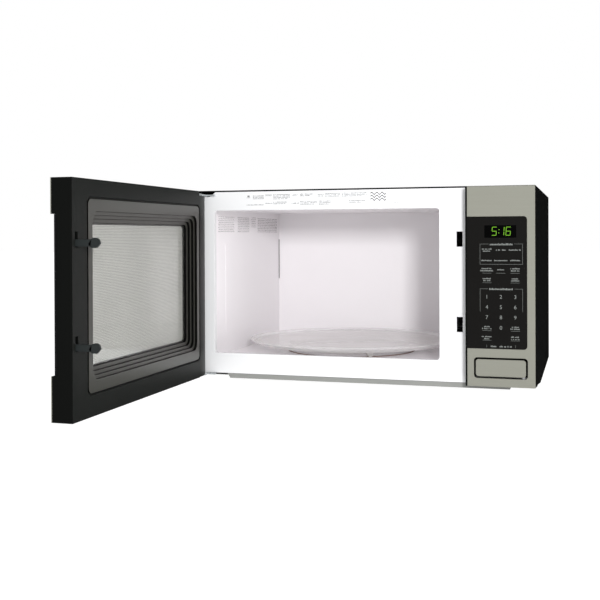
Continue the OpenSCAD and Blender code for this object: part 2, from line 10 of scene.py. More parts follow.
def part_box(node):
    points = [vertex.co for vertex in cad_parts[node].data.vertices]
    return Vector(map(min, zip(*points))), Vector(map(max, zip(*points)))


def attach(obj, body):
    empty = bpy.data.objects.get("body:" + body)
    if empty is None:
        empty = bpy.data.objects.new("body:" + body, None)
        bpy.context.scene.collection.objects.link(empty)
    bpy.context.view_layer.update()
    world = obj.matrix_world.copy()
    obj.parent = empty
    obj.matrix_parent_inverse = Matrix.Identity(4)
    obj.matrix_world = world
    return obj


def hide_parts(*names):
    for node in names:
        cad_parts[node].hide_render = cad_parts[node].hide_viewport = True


bl_info = {
    "name": "Countertop microwave oven",
    "version": (1, 0, 0),
    "blender": (4, 5, 0),
    "location": "View3D > Sidebar > Oven",
    "description": "Finishes and fine pieces for a countertop microwave oven with its door open",
    "category": "Object",
}

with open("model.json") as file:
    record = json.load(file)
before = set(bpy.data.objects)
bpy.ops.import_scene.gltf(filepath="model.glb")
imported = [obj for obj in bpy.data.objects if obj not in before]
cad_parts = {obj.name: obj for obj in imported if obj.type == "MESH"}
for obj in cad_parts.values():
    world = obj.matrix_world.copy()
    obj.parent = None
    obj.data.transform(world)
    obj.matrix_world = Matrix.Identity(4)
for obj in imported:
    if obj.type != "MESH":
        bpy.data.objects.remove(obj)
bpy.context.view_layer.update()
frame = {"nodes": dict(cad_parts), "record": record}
MM = 0.001

# Working lengths are millimetres from the cabinet's lower front left, as the plate gives them
PLATE_LOW, PLATE_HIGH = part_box("front_plate")
CORNER = Vector((PLATE_LOW.x - MM, PLATE_LOW.y, PLATE_LOW.z))
PLACE = Matrix.Translation(CORNER) @ Matrix.Scale(MM, 4)
HINGE = Vector((19.5, -19.5, 0.0))
SWING = Matrix.Translation(HINGE) @ Matrix.Rotation(-math.pi / 2, 4, "Z") @ Matrix.Translation(-HINGE)
ON_DOOR = PLACE @ SWING
# A flat drawing in x and y stands up in x and z, facing the user
UPRIGHT = Matrix.Rotation(math.pi / 2, 4, "X")

FRONT = -31.0
FLOOR_Z = 22.0
TRAY_AT = (223.2, 188.0)


# ---- settings a user would change ----


class OvenSizes(bpy.types.PropertyGroup):
    """Sizes of the fine pieces."""

    edge: bpy.props.FloatProperty(
        name="Edge radius", description="Rounding of moulded edges", default=0.0008,
        min=0.0001, max=0.003, unit="LENGTH", subtype="DISTANCE")
    sheet_edge: bpy.props.FloatProperty(
        name="Sheet edge", description="Rounding of cut and folded sheet edges", default=0.0002,
        min=0.0001, max=0.0004, unit="LENGTH", subtype="DISTANCE")
    case_edge: bpy.props.FloatProperty(
        name="Case fold", description="Radius of the folds along the top of the case", default=0.0022,
        min=0.001, max=0.0024, unit="LENGTH", subtype="DISTANCE")
    vent_hole: bpy.props.FloatProperty(
        name="Vent hole", description="Radius of a vent hole in the cavity wall", default=0.0017,
        min=0.0008, max=0.0019, unit="LENGTH", subtype="DISTANCE")
    print_height: bpy.props.FloatProperty(
        name="Print thickness", description="How far printed marks stand off their panel", default=0.00006,
        min=0.00002, max=0.0003, unit="LENGTH", subtype="DISTANCE")


class OvenColours(bpy.types.PropertyGroup):
    """Colours of the finishes."""

    steel: bpy.props.FloatVectorProperty(
        name="Stainless steel", description="Brushed trim", subtype="COLOR", size=3,
        default=(0.385, 0.385, 0.33), min=0.0, max=1.0)
    enamel: bpy.props.FloatVectorProperty(
        name="Front enamel", description="White front plate", subtype="COLOR", size=3,
        default=(0.86, 0.865, 0.875), min=0.0, max=1.0)
    cavity: bpy.props.FloatVectorProperty(
        name="Cavity enamel", description="Paint inside the cavity", subtype="COLOR", size=3,
        default=(0.93, 0.902, 0.920), min=0.0, max=1.0)
    case: bpy.props.FloatVectorProperty(
        name="Case", description="Black coating of the case", subtype="COLOR", size=3,
        default=(0.0035, 0.0038, 0.0037), min=0.0, max=1.0)
    door: bpy.props.FloatVectorProperty(
        name="Door frame", description="Moulded door frame", subtype="COLOR", size=3,
        default=(0.011, 0.012, 0.011), min=0.0, max=1.0)
    digits: bpy.props.FloatVectorProperty(
        name="Display digits", description="Lit digits of the clock", subtype="COLOR", size=3,
        default=(0.16, 0.42, 0.02), min=0.0, max=1.0)


class OvenStage(bpy.types.PropertyGroup):
    """Light and floor."""

    sky: bpy.props.FloatProperty(
        name="Soft light", description="Strength of the even light", default=0.55, min=0.0, max=3.0)
    key: bpy.props.FloatProperty(
        name="Main light", description="Power of the main light", default=18.0,
        min=0.0, max=500.0, unit="POWER")
    fill: bpy.props.FloatProperty(
        name="Cavity light", description="Power of the soft light that shines into the cavity", default=0.10,
        min=0.0, max=10.0, unit="POWER")
    floor: bpy.props.FloatVectorProperty(
        name="Floor", description="Colour of the floor", subtype="COLOR", size=3,
        default=(0.93, 0.93, 0.93), min=0.0, max=1.0)


def sizes():
    return bpy.context.scene.oven_sizes


def colours():
    return bpy.context.scene.oven_colours


# ---- shared shader effects ----

GROUPS = {}
FINISHES = {}


def group(name, inputs, outputs):
    """A new node group with its sockets, as (tree, input node, output node)."""
    tree = bpy.data.node_groups.new(name, "ShaderNodeTree")
    for label, kind, value in inputs:
        socket = tree.interface.new_socket(name=label, in_out="INPUT", socket_type=kind)
        if value is not None:
            socket.default_value = value
    for label, kind in outputs:
        tree.interface.new_socket(name=label, in_out="OUTPUT", socket_type=kind)
    GROUPS[name] = tree
    return tree, tree.nodes.new("NodeGroupInput"), tree.nodes.new("NodeGroupOutput")


def math_node(tree, operation, a, b=None):
    """A Math node fed by sockets or numbers; gives its output socket."""
    node = tree.nodes.new("ShaderNodeMath")
    node.operation = operation
    for index, value in enumerate((a, b)):
        if value is None:
            continue
        if isinstance(value, (int, float)):
            node.inputs[index].default_value = value
        else:
            tree.links.new(value, node.inputs[index])
    return node.outputs[0]


def noise(tree, vector, size, detail=3.0, rough=0.55):
    """Noise with features of about the given size in metres, a number or a socket holding 1 / size."""
    node = tree.nodes.new("ShaderNodeTexNoise")
    node.inputs["Detail"].default_value = detail
    node.inputs["Roughness"].default_value = rough
    tree.links.new(vector, node.inputs["Vector"])
    if isinstance(size, (int, float)):
        node.inputs["Scale"].default_value = 1.0 / size
    else:
        tree.links.new(size, node.inputs["Scale"])
    return node.outputs["Fac"]


def build_grain():
    """Moulded or coated grain: fine bumps over a slow waviness."""
    tree, src, out = group("Surface grain", [
        ("Vector", "NodeSocketVector", None), ("Fineness", "NodeSocketFloat", 1500.0),
        ("Strength", "NodeSocketFloat", 0.2), ("Wave", "NodeSocketFloat", 0.3)],
        [("Normal", "NodeSocketVector"), ("Mask", "NodeSocketFloat")])
    fine = noise(tree, src.outputs["Vector"], src.outputs["Fineness"], 2.0)
    wave = noise(tree, src.outputs["Vector"], 0.05, 1.0)
    waved = math_node(tree, "MULTIPLY", wave, src.outputs["Wave"])
    height = math_node(tree, "ADD", fine, waved)
    bump = tree.nodes.new("ShaderNodeBump")
    bump.inputs["Distance"].default_value = 0.0003
    tree.links.new(src.outputs["Strength"], bump.inputs["Strength"])
    tree.links.new(height, bump.inputs["Height"])
    tree.links.new(bump.outputs["Normal"], out.inputs["Normal"])
    tree.links.new(fine, out.inputs["Mask"])


def build_tone():
    """Slow colour and roughness change, as handling and ageing give."""
    tree, src, out = group("Tone change", [
        ("Vector", "NodeSocketVector", None), ("Colour", "NodeSocketColor", (0.5, 0.5, 0.5, 1.0)),
        ("Second colour", "NodeSocketColor", (0.4, 0.4, 0.4, 1.0)),
        ("Patch scale", "NodeSocketFloat", 20.0), ("Roughness", "NodeSocketFloat", 0.4),
        ("Roughness change", "NodeSocketFloat", 0.1)],
        [("Colour", "NodeSocketColor"), ("Roughness", "NodeSocketFloat")])
    patch = noise(tree, src.outputs["Vector"], src.outputs["Patch scale"], 4.0)
    mix = tree.nodes.new("ShaderNodeMix")
    mix.data_type = "RGBA"
    tree.links.new(patch, mix.inputs[0])
    tree.links.new(src.outputs["Colour"], mix.inputs[6])
    tree.links.new(src.outputs["Second colour"], mix.inputs[7])
    tree.links.new(mix.outputs[2], out.inputs["Colour"])
    centred = math_node(tree, "SUBTRACT", patch, 0.5)
    change = math_node(tree, "MULTIPLY", centred, src.outputs["Roughness change"])
    rough = math_node(tree, "ADD", src.outputs["Roughness"], change)
    tree.links.new(rough, out.inputs["Roughness"])


def build_brush():
    """Fine parallel lines of brushed metal; Stretch is small along the lines."""
    tree, src, out = group("Brushed lines", [
        ("Vector", "NodeSocketVector", None), ("Stretch", "NodeSocketVector", (20.0, 1500.0, 1500.0)),
        ("Strength", "NodeSocketFloat", 0.15)],
        [("Normal", "NodeSocketVector"), ("Mask", "NodeSocketFloat")])
    scale = tree.nodes.new("ShaderNodeVectorMath")
    scale.operation = "MULTIPLY"
    tree.links.new(src.outputs["Vector"], scale.inputs[0])
    tree.links.new(src.outputs["Stretch"], scale.inputs[1])
    lines = noise(tree, scale.outputs[0], 1.0, 4.0, 0.65)
    bump = tree.nodes.new("ShaderNodeBump")
    bump.inputs["Distance"].default_value = 0.0001
    tree.links.new(src.outputs["Strength"], bump.inputs["Strength"])
    tree.links.new(lines, bump.inputs["Height"])
    tree.links.new(bump.outputs["Normal"], out.inputs["Normal"])
    tree.links.new(lines, out.inputs["Mask"])


def build_perforation():
    """Staggered round holes in a sheet lying in Y and Z; Mask is 1 in a hole."""
    tree, src, out = group("Perforations", [
        ("Vector", "NodeSocketVector", None), ("Holes a metre", "NodeSocketFloat", 500.0),
        ("Radius", "NodeSocketFloat", 0.32)], [("Mask", "NodeSocketFloat")])
    split = tree.nodes.new("ShaderNodeSeparateXYZ")
    tree.links.new(src.outputs["Vector"], split.inputs[0])
    across = math_node(tree, "MULTIPLY", split.outputs["Y"], src.outputs["Holes a metre"])
    rows = math_node(tree, "MULTIPLY", split.outputs["Z"], src.outputs["Holes a metre"])
    rows = math_node(tree, "DIVIDE", rows, 0.866)
    row = math_node(tree, "FLOOR", rows)
    shift = math_node(tree, "MULTIPLY", math_node(tree, "FLOORED_MODULO", row, 2.0), 0.5)
    u = math_node(tree, "FRACT", math_node(tree, "ADD", across, shift))
    v = math_node(tree, "FRACT", rows)
    du = math_node(tree, "POWER", math_node(tree, "SUBTRACT", u, 0.5), 2.0)
    dv = math_node(tree, "POWER", math_node(tree, "SUBTRACT", v, 0.5), 2.0)
    reach = math_node(tree, "SQRT", math_node(tree, "ADD", du, dv))
    inside = math_node(tree, "LESS_THAN", reach, src.outputs["Radius"])
    tree.links.new(inside, out.inputs["Mask"])


def build_dust():
    """Where dust settles: surfaces facing up, broken by noise."""
    tree, src, out = group("Settled dust", [
        ("Vector", "NodeSocketVector", None), ("Colour", "NodeSocketColor", (0.5, 0.5, 0.5, 1.0)),
        ("Amount", "NodeSocketFloat", 0.1)], [("Colour", "NodeSocketColor")])
    geometry = tree.nodes.new("ShaderNodeNewGeometry")
    split = tree.nodes.new("ShaderNodeSeparateXYZ")
    tree.links.new(geometry.outputs["Normal"], split.inputs[0])
    up = math_node(tree, "MAXIMUM", split.outputs["Z"], 0.0)
    specks = noise(tree, src.outputs["Vector"], 0.004, 5.0, 0.7)
    share = math_node(tree, "MULTIPLY", math_node(tree, "MULTIPLY", up, specks), src.outputs["Amount"])
    mix = tree.nodes.new("ShaderNodeMix")
    mix.data_type = "RGBA"
    mix.inputs[7].default_value = (0.45, 0.44, 0.42, 1.0)
    tree.links.new(share, mix.inputs[0])
    tree.links.new(src.outputs["Colour"], mix.inputs[6])
    tree.links.new(mix.outputs[2], out.inputs["Colour"])


def shade(colour, factor):
    return tuple(min(1.0, c * factor) for c in colour[:3])


def add_group(tree, name, coordinates, **values):
    node = tree.nodes.new("ShaderNodeGroup")
    node.node_tree = GROUPS[name]
    tree.links.new(coordinates, node.inputs["Vector"])
    for label, value in values.items():
        node.inputs[label.replace("_", " ")].default_value = value
    return node


def finish(name, colour, rough, second=None, patch=18.0, change=0.08, grain=None, brush=None,
           dust=0.0, **plain):
    """A material with colour and roughness change, and grain or brushing for its surface."""
    if name in FINISHES:
        return FINISHES[name]
    material = bpy.data.materials.new(name)
    material.use_nodes = True
    tree = material.node_tree
    bsdf = tree.nodes["Principled BSDF"]
    place = tree.nodes.new("ShaderNodeTexCoord").outputs["Object"]
    second = second or shade(colour, 0.86)
    tone = add_group(tree, "Tone change", place, Colour=(*colour[:3], 1.0),
                     Second_colour=(*second[:3], 1.0), Patch_scale=patch, Roughness=rough,
                     Roughness_change=change)
    tree.links.new(tone.outputs["Roughness"], bsdf.inputs["Roughness"])
    tint = tone.outputs["Colour"]
    if dust:
        settled = add_group(tree, "Settled dust", place, Amount=dust)
        tree.links.new(tint, settled.inputs["Colour"])
        tint = settled.outputs["Colour"]
    if brush:
        lines = add_group(tree, "Brushed lines", place, Stretch=brush[0], Strength=brush[1])
        tree.links.new(lines.outputs["Normal"], bsdf.inputs["Normal"])
        streak = tree.nodes.new("ShaderNodeMix")
        streak.data_type = "RGBA"
        streak.inputs[7].default_value = (*shade(colour, brush[2]), 1.0)
        tree.links.new(math_node(tree, "MULTIPLY", lines.outputs["Mask"], 0.8), streak.inputs[0])
        tree.links.new(tint, streak.inputs[6])
        tint = streak.outputs[2]
    if grain:
        fine = add_group(tree, "Surface grain", place, Fineness=grain[0], Strength=grain[1],
                         Wave=grain[2] if len(grain) > 2 else 0.2)
        tree.links.new(fine.outputs["Normal"], bsdf.inputs["Normal"])
    tree.links.new(tint, bsdf.inputs["Base Color"])
    for label, value in plain.items():
        bsdf.inputs[label.replace("_", " ")].default_value = value
    FINISHES[name] = material
    return material


def perforated_steel():
    """Painted screen sheet with its rows of small holes."""
    material = finish("screen steel", (0.68, 0.685, 0.635), 0.55, grain=(2500.0, 0.1))
    tree = material.node_tree
    bsdf = tree.nodes["Principled BSDF"]
    place = tree.nodes.new("ShaderNodeTexCoord").outputs["Object"]
    holes = add_group(tree, "Perforations", place, Holes_a_metre=420.0, Radius=0.30)
    mix = tree.nodes.new("ShaderNodeMix")
    mix.data_type = "RGBA"
    mix.inputs[7].default_value = (0.20, 0.20, 0.19, 1.0)
    tree.links.new(holes.outputs["Mask"], mix.inputs[0])
    tree.links.new(bsdf.inputs["Base Color"].links[0].from_socket, mix.inputs[6])
    tree.links.new(mix.outputs[2], bsdf.inputs["Base Color"])
    return material


def tray_glass():
    """Pressed glass: milky face on, denser where it is seen edge on."""
    material = finish("tray glass", (0.95, 0.94, 0.945), 0.10, second=(0.93, 0.92, 0.925), patch=10.0,
                      change=0.04, grain=(60.0, 0.06), Specular_IOR_Level=0.6)
    tree = material.node_tree
    weight = tree.nodes.new("ShaderNodeLayerWeight")
    weight.inputs["Blend"].default_value = 0.25
    dense = math_node(tree, "MULTIPLY", weight.outputs["Facing"], 0.62)
    opaque = math_node(tree, "ADD", dense, 0.22)
    bsdf = tree.nodes["Principled BSDF"]
    tree.links.new(opaque, bsdf.inputs["Alpha"])
    rim = tree.nodes.new("ShaderNodeMix")
    rim.data_type = "RGBA"
    rim.inputs[7].default_value = (0.62, 0.58, 0.53, 1.0)
    tree.links.new(math_node(tree, "POWER", weight.outputs["Facing"], 2.5), rim.inputs[0])
    tree.links.new(bsdf.inputs["Base Color"].links[0].from_socket, rim.inputs[6])
    tree.links.new(rim.outputs[2], bsdf.inputs["Base Color"])
    return material


def make_finishes():
    """Every finish of the oven, made once."""
    build_grain()
    build_tone()
    build_brush()
    build_perforation()
    build_dust()
    c = colours()
    steel = tuple(c.steel)
    across = ((14.0, 1400.0, 1400.0), 0.16, 0.80)
    finish("brushed steel", steel, 0.36, patch=6.0, change=0.10, brush=across, Metallic=0.3)
    along = ((1400.0, 14.0, 1400.0), 0.16, 0.80)
    finish("brushed steel door", steel, 0.36, patch=6.0, change=0.10, brush=along, Metallic=0.3)
    finish("front enamel", tuple(c.enamel), 0.22, second=shade(c.enamel, 0.975), patch=5.0,
           grain=(260.0, 0.05), Coat_Weight=0.25, Coat_Roughness=0.12)
    finish("cavity enamel", tuple(c.cavity), 0.34, second=shade(c.cavity, 0.965), patch=6.0,
           grain=(300.0, 0.10), Coat_Weight=0.1, Coat_Roughness=0.3)
    finish("case coating", tuple(c.case), 0.6, second=shade(c.case, 1.6), patch=9.0,
           grain=(1100.0, 0.35), dust=0.004, Specular_IOR_Level=0.1)
    finish("door moulding", tuple(c.door), 0.42, second=shade(c.door, 1.3), patch=7.0,
           grain=(1800.0, 0.14), dust=0.01, Specular_IOR_Level=0.12)
    # a darker copy of the door moulding for its faces turned to the front: painted shade
    finish("door end painted shade", shade(c.door, 0.45), 0.42, patch=7.0, grain=(1800.0, 0.14),
           Specular_IOR_Level=0.08)
    finish("grey trim", (0.052, 0.052, 0.045), 0.30, second=(0.044, 0.044, 0.038), patch=8.0,
           grain=(1500.0, 0.08), Specular_IOR_Level=0.7)
    # near-black paint for the risers of the inner moulding's steps: painted shade in its grooves
    finish("step riser painted shade", (0.0022, 0.0022, 0.002), 0.45, patch=8.0, grain=(1500.0, 0.1),
           Specular_IOR_Level=0.1)
    # dark paint for the rims of the vent holes: painted shade in the holes
    finish("hole rim painted shade", (0.06, 0.052, 0.052), 0.6, second=(0.045, 0.04, 0.04), patch=90.0,
           grain=(1500.0, 0.2))
    perforated_steel()
    finish("clear sheet", (0.92, 0.94, 0.93), 0.06, second=(0.90, 0.92, 0.91), patch=12.0,
           change=0.03, Transmission_Weight=1.0, IOR=1.46, Alpha=0.2)
    finish("dark glass", (0.010, 0.010, 0.011), 0.08, patch=14.0, change=0.03, Coat_Weight=1.0,
           Coat_Roughness=0.03)
    tray_glass()
    # brown for the thin ring on the cavity floor along the wheels' path
    finish("brown track ring", (0.16, 0.075, 0.05), 0.5, second=(0.28, 0.16, 0.12), patch=90.0,
           grain=(900.0, 0.2))
    finish("hook moulding", (0.020, 0.024, 0.024), 0.45, patch=40.0, grain=(2200.0, 0.25))
    finish("zinc plate", (0.74, 0.77, 0.78), 0.28, second=(0.62, 0.67, 0.69), patch=60.0,
           grain=(900.0, 0.12), Metallic=0.55)
    finish("base sheet", (0.34, 0.345, 0.33), 0.45, second=(0.30, 0.305, 0.29), patch=40.0,
           grain=(500.0, 0.12), Metallic=0.15)
    finish("galvanised sheet", (0.50, 0.51, 0.50), 0.45, second=(0.38, 0.39, 0.38), patch=90.0,
           change=0.2, grain=(500.0, 0.12), Metallic=0.85)
    finish("keypad film", (0.0075, 0.007, 0.0065), 0.3, second=(0.0095, 0.009, 0.0085), patch=12.0,
           grain=(2600.0, 0.10), Specular_IOR_Level=0.25)
    finish("display glass", (0.0018, 0.0018, 0.0018), 0.10, patch=20.0, change=0.02,
           Specular_IOR_Level=0.1)
    finish("keypad print", (0.22, 0.235, 0.225), 0.5, patch=300.0, grain=(2600.0, 0.1))
    finish("plate print", (0.05, 0.05, 0.055), 0.6, second=(0.07, 0.07, 0.075), patch=200.0,
           grain=(2600.0, 0.1))
    finish("pale print", (0.16, 0.16, 0.17), 0.6, second=(0.20, 0.20, 0.21), patch=200.0,
           grain=(2600.0, 0.1))
    green = tuple(c.digits)
    finish("lit segments", shade(green, 0.6), 0.4, patch=400.0, Emission_Color=(*green, 1.0),
           Emission_Strength=0.55)
    finish("rubber", (0.018, 0.018, 0.018), 0.75, patch=60.0, grain=(1400.0, 0.4), dust=0.08)
    finish("natural nylon", (0.62, 0.61, 0.57), 0.5, patch=50.0, grain=(1600.0, 0.2))
    finish("ring moulding", (0.74, 0.72, 0.70), 0.45, patch=40.0, grain=(1600.0, 0.15))
    finish("black moulding", (0.012, 0.012, 0.013), 0.5, patch=40.0, grain=(1600.0, 0.25))
    finish("grey moulding", (0.24, 0.24, 0.23), 0.5, patch=40.0, grain=(1600.0, 0.25))
    finish("circuit laminate", (0.03, 0.16, 0.06), 0.35, second=(0.02, 0.10, 0.04), patch=260.0,
           grain=(1200.0, 0.2), Coat_Weight=0.4)
    finish("printed film", (0.20, 0.32, 0.22), 0.4, patch=160.0, grain=(1200.0, 0.1))
    finish("bare aluminium", (0.78, 0.79, 0.80), 0.32, second=(0.70, 0.71, 0.72), patch=70.0,
           grain=(700.0, 0.12), Metallic=1.0)
    finish("mica", (0.60, 0.53, 0.42), 0.35, second=(0.48, 0.42, 0.34), patch=110.0,
           grain=(500.0, 0.25), Coat_Weight=0.3)
    finish("varnished laminations", (0.10, 0.10, 0.105), 0.45, patch=30.0,
           brush=((20.0, 20.0, 2200.0), 0.5, 0.55), Metallic=0.6)
    finish("enamelled copper", (0.55, 0.22, 0.08), 0.35, second=(0.42, 0.15, 0.05), patch=40.0,
           brush=((30.0, 30.0, 1300.0), 0.6, 0.6), Metallic=0.7)
    finish("lamp parts", (0.85, 0.82, 0.74), 0.25, patch=50.0, grain=(900.0, 0.1))
    finish("blackened steel", (0.035, 0.035, 0.035), 0.38, patch=160.0, grain=(1800.0, 0.2),
           Metallic=0.8)


# ---- mesh helpers ----


def rectangle(bm, x, y, w, h):
    """A flat rectangle in x and y with its lower left corner at x, y."""
    made = bmesh.ops.create_grid(bm, x_segments=1, y_segments=1, size=0.5)
    move = Matrix.Translation((x + w / 2, y + h / 2, 0)) @ Matrix.Diagonal((w, h, 1, 1))
    bmesh.ops.transform(bm, matrix=move, verts=made["verts"])
    return made["verts"]


def polygon(bm, points):
    """A flat face through a few corners."""
    verts = [bm.verts.new((x, y, 0)) for x, y in points]
    bm.faces.new(verts)
    return verts


def round_corners(bm, verts, radius, segments=5):
    """Rounds the corners of a flat face."""
    bmesh.ops.bevel(bm, geom=verts, offset=radius, offset_type="OFFSET", segments=segments,
                    profile=0.5, affect="VERTICES", material=-1)


def thicken(bm, depth):
    """Pulls every flat face out along z into a closed slab of the given depth."""
    faces = list(bm.faces)
    made = bmesh.ops.extrude_face_region(bm, geom=faces, use_keep_orig=True)
    up = [g for g in made["geom"] if isinstance(g, bmesh.types.BMVert)]
    bmesh.ops.translate(bm, verts=up, vec=(0, 0, depth))
    bmesh.ops.recalc_face_normals(bm, faces=bm.faces)


def soften(bm, width, segments=2, angle=35.0, choose=None):
    """Rounds the sharp edges of a solid."""
    limit = math.radians(angle)
    edges = [e for e in bm.edges if len(e.link_faces) == 2 and e.calc_face_angle(0.0) > limit]
    if choose:
        edges = [e for e in edges if choose(e)]
    if edges:
        bmesh.ops.bevel(bm, geom=edges, offset=width, offset_type="OFFSET", segments=segments,
                        profile=0.5, affect="EDGES", clamp_overlap=False, material=-1)


def dress(obj, material, body, replaces=(), smooth=35.0, weighted=True):
    """Gives a piece its finish, its smooth shading and its body."""
    obj.data.materials.clear()
    obj.data.materials.append(FINISHES[material])
    if smooth:
        obj.data.shade_smooth()
        obj.data.set_sharp_from_angle(angle=math.radians(smooth))
        if weighted:
            even = obj.modifiers.new("even shading", "WEIGHTED_NORMAL")
            even.keep_sharp = True
    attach(obj, body)
    if replaces:
        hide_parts(*replaces)
    return obj


def piece(name, bm, material, body, place=PLACE, replaces=(), smooth=35.0, weighted=True):
    """Makes a piece from a bmesh drawn in millimetres."""
    bmesh.ops.transform(bm, matrix=place, verts=bm.verts)
    mesh = bpy.data.meshes.new(name)
    bm.to_mesh(mesh)
    bm.free()
    obj = bpy.data.objects.new(name, mesh)
    bpy.context.scene.collection.objects.link(obj)
    return dress(obj, material, body, replaces, smooth, weighted)


def merged_copy(node):
    """A bmesh of a CAD node with its loose triangles merged and its flat faces joined."""
    bm = bmesh.new()
    bm.from_mesh(frame["nodes"][node].data)
    bmesh.ops.remove_doubles(bm, verts=bm.verts, dist=2e-6)
    bmesh.ops.dissolve_limit(bm, angle_limit=math.radians(0.5), verts=bm.verts, edges=bm.edges)
    return bm


def body_of(node):
    return next(b for b, nodes in frame["record"]["behaviour"]["bodies"].items() if node in nodes)


def refined(node, name, material, width=None, segments=2, choose=None):
    """A CAD node with its edges rounded, in place of the plain one."""
    bm = merged_copy(node)
    soften(bm, width or sizes().edge, segments, choose=choose)
    return piece(name, bm, material, body_of(node), Matrix.Identity(4), (node,))


def second_finish(obj, material, choose):
    """Gives the faces that pass a test another finish."""
    obj.data.materials.append(FINISHES[material])
    index = len(obj.data.materials) - 1
    for face in obj.data.polygons:
        if choose(face):
            face.material_index = index


def plain(node, material):
    """A CAD node kept as it is, with its finish."""
    obj = frame["nodes"][node]
    obj.data.materials.clear()
    obj.data.materials.append(FINISHES[material])


def at(x, y, z, base=PLACE):
    """A drawing set down at x, y, z, standing up to face the user."""
    return base @ Matrix.Translation((x, y, z)) @ UPRIGHT


def register_piece(cls):
    """Adds an operator to the list that the panel shows and main() calls."""
    PIECES.append(cls)
    return cls


PIECES = []


class OvenOperator:
    """What every piece's operator shares."""

    bl_options = {"REGISTER", "UNDO"}


# ---- cabinet ----


def lying(axis, millimetres):
    """Picks edges that lie in one plane of the cabinet."""
    want = CORNER[axis] + millimetres * MM
    return lambda edge: all(abs(v.co[axis] - want) < 0.00012 for v in edge.verts)


@register_piece
class BuildCase(OvenOperator, bpy.types.Operator):
    """Folded sheet case with rounded top folds"""

    bl_idname = "oven.case"
    bl_label = "Case"

    def execute(self, context):
        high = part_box("outer_case")[1]
        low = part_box("outer_case")[0]

        def along_fold(edge):
            a, b = (v.co for v in edge.verts)
            at_side = all(min(abs(p.x - low.x), abs(p.x - high.x)) < 0.0001 for p in (a, b))
            return at_side and a.z > high.z - 0.0001 and b.z > high.z - 0.0001 and abs(a.y - b.y) > 0.1

        bm = merged_copy("outer_case")
        soften(bm, sizes().case_edge, 5, choose=along_fold)
        soften(bm, sizes().sheet_edge, 1, 60.0, choose=lying(1, 0.2))
        piece("case_shell", bm, "case coating", "cabinet", Matrix.Identity(4),
              ("outer_case",))
        return {"FINISHED"}


@register_piece
class BuildRearAndBase(OvenOperator, bpy.types.Operator):
    """Galvanised rear panel, grey sheet base and rubber cord gland"""

    bl_idname = "oven.rear_and_base"
    bl_label = "Rear panel and base"

    def execute(self, context):
        plain("rear_panel", "galvanised sheet")
        refined("base_plate", "base_pan", "base sheet", sizes().sheet_edge, 1)
        refined("cord_gland", "cord_gland_moulding", "rubber", 0.0006, 2)
        return {"FINISHED"}


@register_piece
class BuildFeet(OvenOperator, bpy.types.Operator):
    """Four rubber feet, each with its screw well"""

    bl_idname = "oven.feet"
    bl_label = "Feet"

    def execute(self, context):
        low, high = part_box("feet")
        tall = (high.z - low.z) / MM
        bm = bmesh.new()
        for x in (70, 482):
            for y in (92, 413):
                start = len(bm.verts)
                outline = [(3.2, 4.0), (3.2, 0.8), (4.0, 0.0), (9.2, 0.0), (10.3, 0.5), (10.8, 1.6),
                           (11.6, tall - 1.6), (11.5, tall - 0.5), (10.9, tall), (2.6, tall)]
                spin_profile(bm, outline, (x, y, -20.0), 32)
                disc_at(bm, x, y, -16.0, 3.2, 32)
                bm.verts.ensure_lookup_table()
                bmesh.ops.remove_doubles(bm, verts=bm.verts[start:], dist=0.001)
        bmesh.ops.recalc_face_normals(bm, faces=bm.faces)
        piece("rubber_feet", bm, "rubber", "cabinet", replaces=("feet",))
        return {"FINISHED"}


def spin_profile(bm, outline, centre, steps=48, axis=(0, 0, 1)):
    """Turns an open outline of (radius, height) about an upright axis; ends at radius 0 are closed."""
    cx, cy, cz = centre
    verts = [bm.verts.new((cx + r, cy, cz + h)) for r, h in outline]
    edges = [bm.edges.new(pair) for pair in zip(verts, verts[1:])]
    made = bmesh.ops.spin(bm, geom=verts + edges, cent=(cx, cy, cz), axis=axis, dvec=(0, 0, 0),
                          angle=2 * math.pi, steps=steps, use_merge=True, use_duplicate=False)
    near = [v for v in bm.verts if abs(v.co.x - cx) < 1e-4 and abs(v.co.y - cy) < 1e-4]
    bmesh.ops.remove_doubles(bm, verts=near, dist=0.001)
    return made


def disc_at(bm, x, y, z, radius, sides):
    made = bmesh.ops.create_circle(bm, cap_ends=True, radius=radius, segments=sides)
    bmesh.ops.translate(bm, verts=made["verts"], vec=(x, y, z))
    return made["verts"]


def rounded_loop(x, y, w, h, radius, steps=6):
    """Points round a rectangle with rounded corners."""
    points = []
    for turn, (cx, cy) in enumerate(((x + w - radius, y + h - radius), (x + radius, y + h - radius),
                                     (x + radius, y + radius), (x + w - radius, y + radius))):
        for i in range(steps + 1):
            angle = (turn + i / steps) * math.pi / 2
            points.append((cx + radius * math.cos(angle), cy + radius * math.sin(angle)))
    return points


@register_piece
class BuildFrontPlate(OvenOperator, bpy.types.Operator):
    """Enamelled front plate with the turned-in edge of its opening"""

    bl_idname = "oven.front_plate"
    bl_label = "Front plate"

    def execute(self, context):
        refined("front_plate", "enamelled_front_plate", "front enamel", 0.00025, 2)
        bm = bmesh.new()
        loops = []
        for inset in (0.0, 0.6):
            points = rounded_loop(37.9 + inset, 31.9 + inset, 370.6 - 2 * inset, 234.2 - 2 * inset, 5.6 - inset)
            loops.append([bm.verts.new((x, y, 0.0)) for x, y in points])
        for pair in zip(*loops, *[loop[1:] + loop[:1] for loop in loops]):
            bm.faces.new((pair[0], pair[2], pair[3], pair[1]))
        thicken(bm, 8.0)
        bmesh.ops.recalc_face_normals(bm, faces=bm.faces)
        piece("mouth_return", bm, "front enamel", "cabinet", at(0, 9.0, 0))
        return {"FINISHED"}


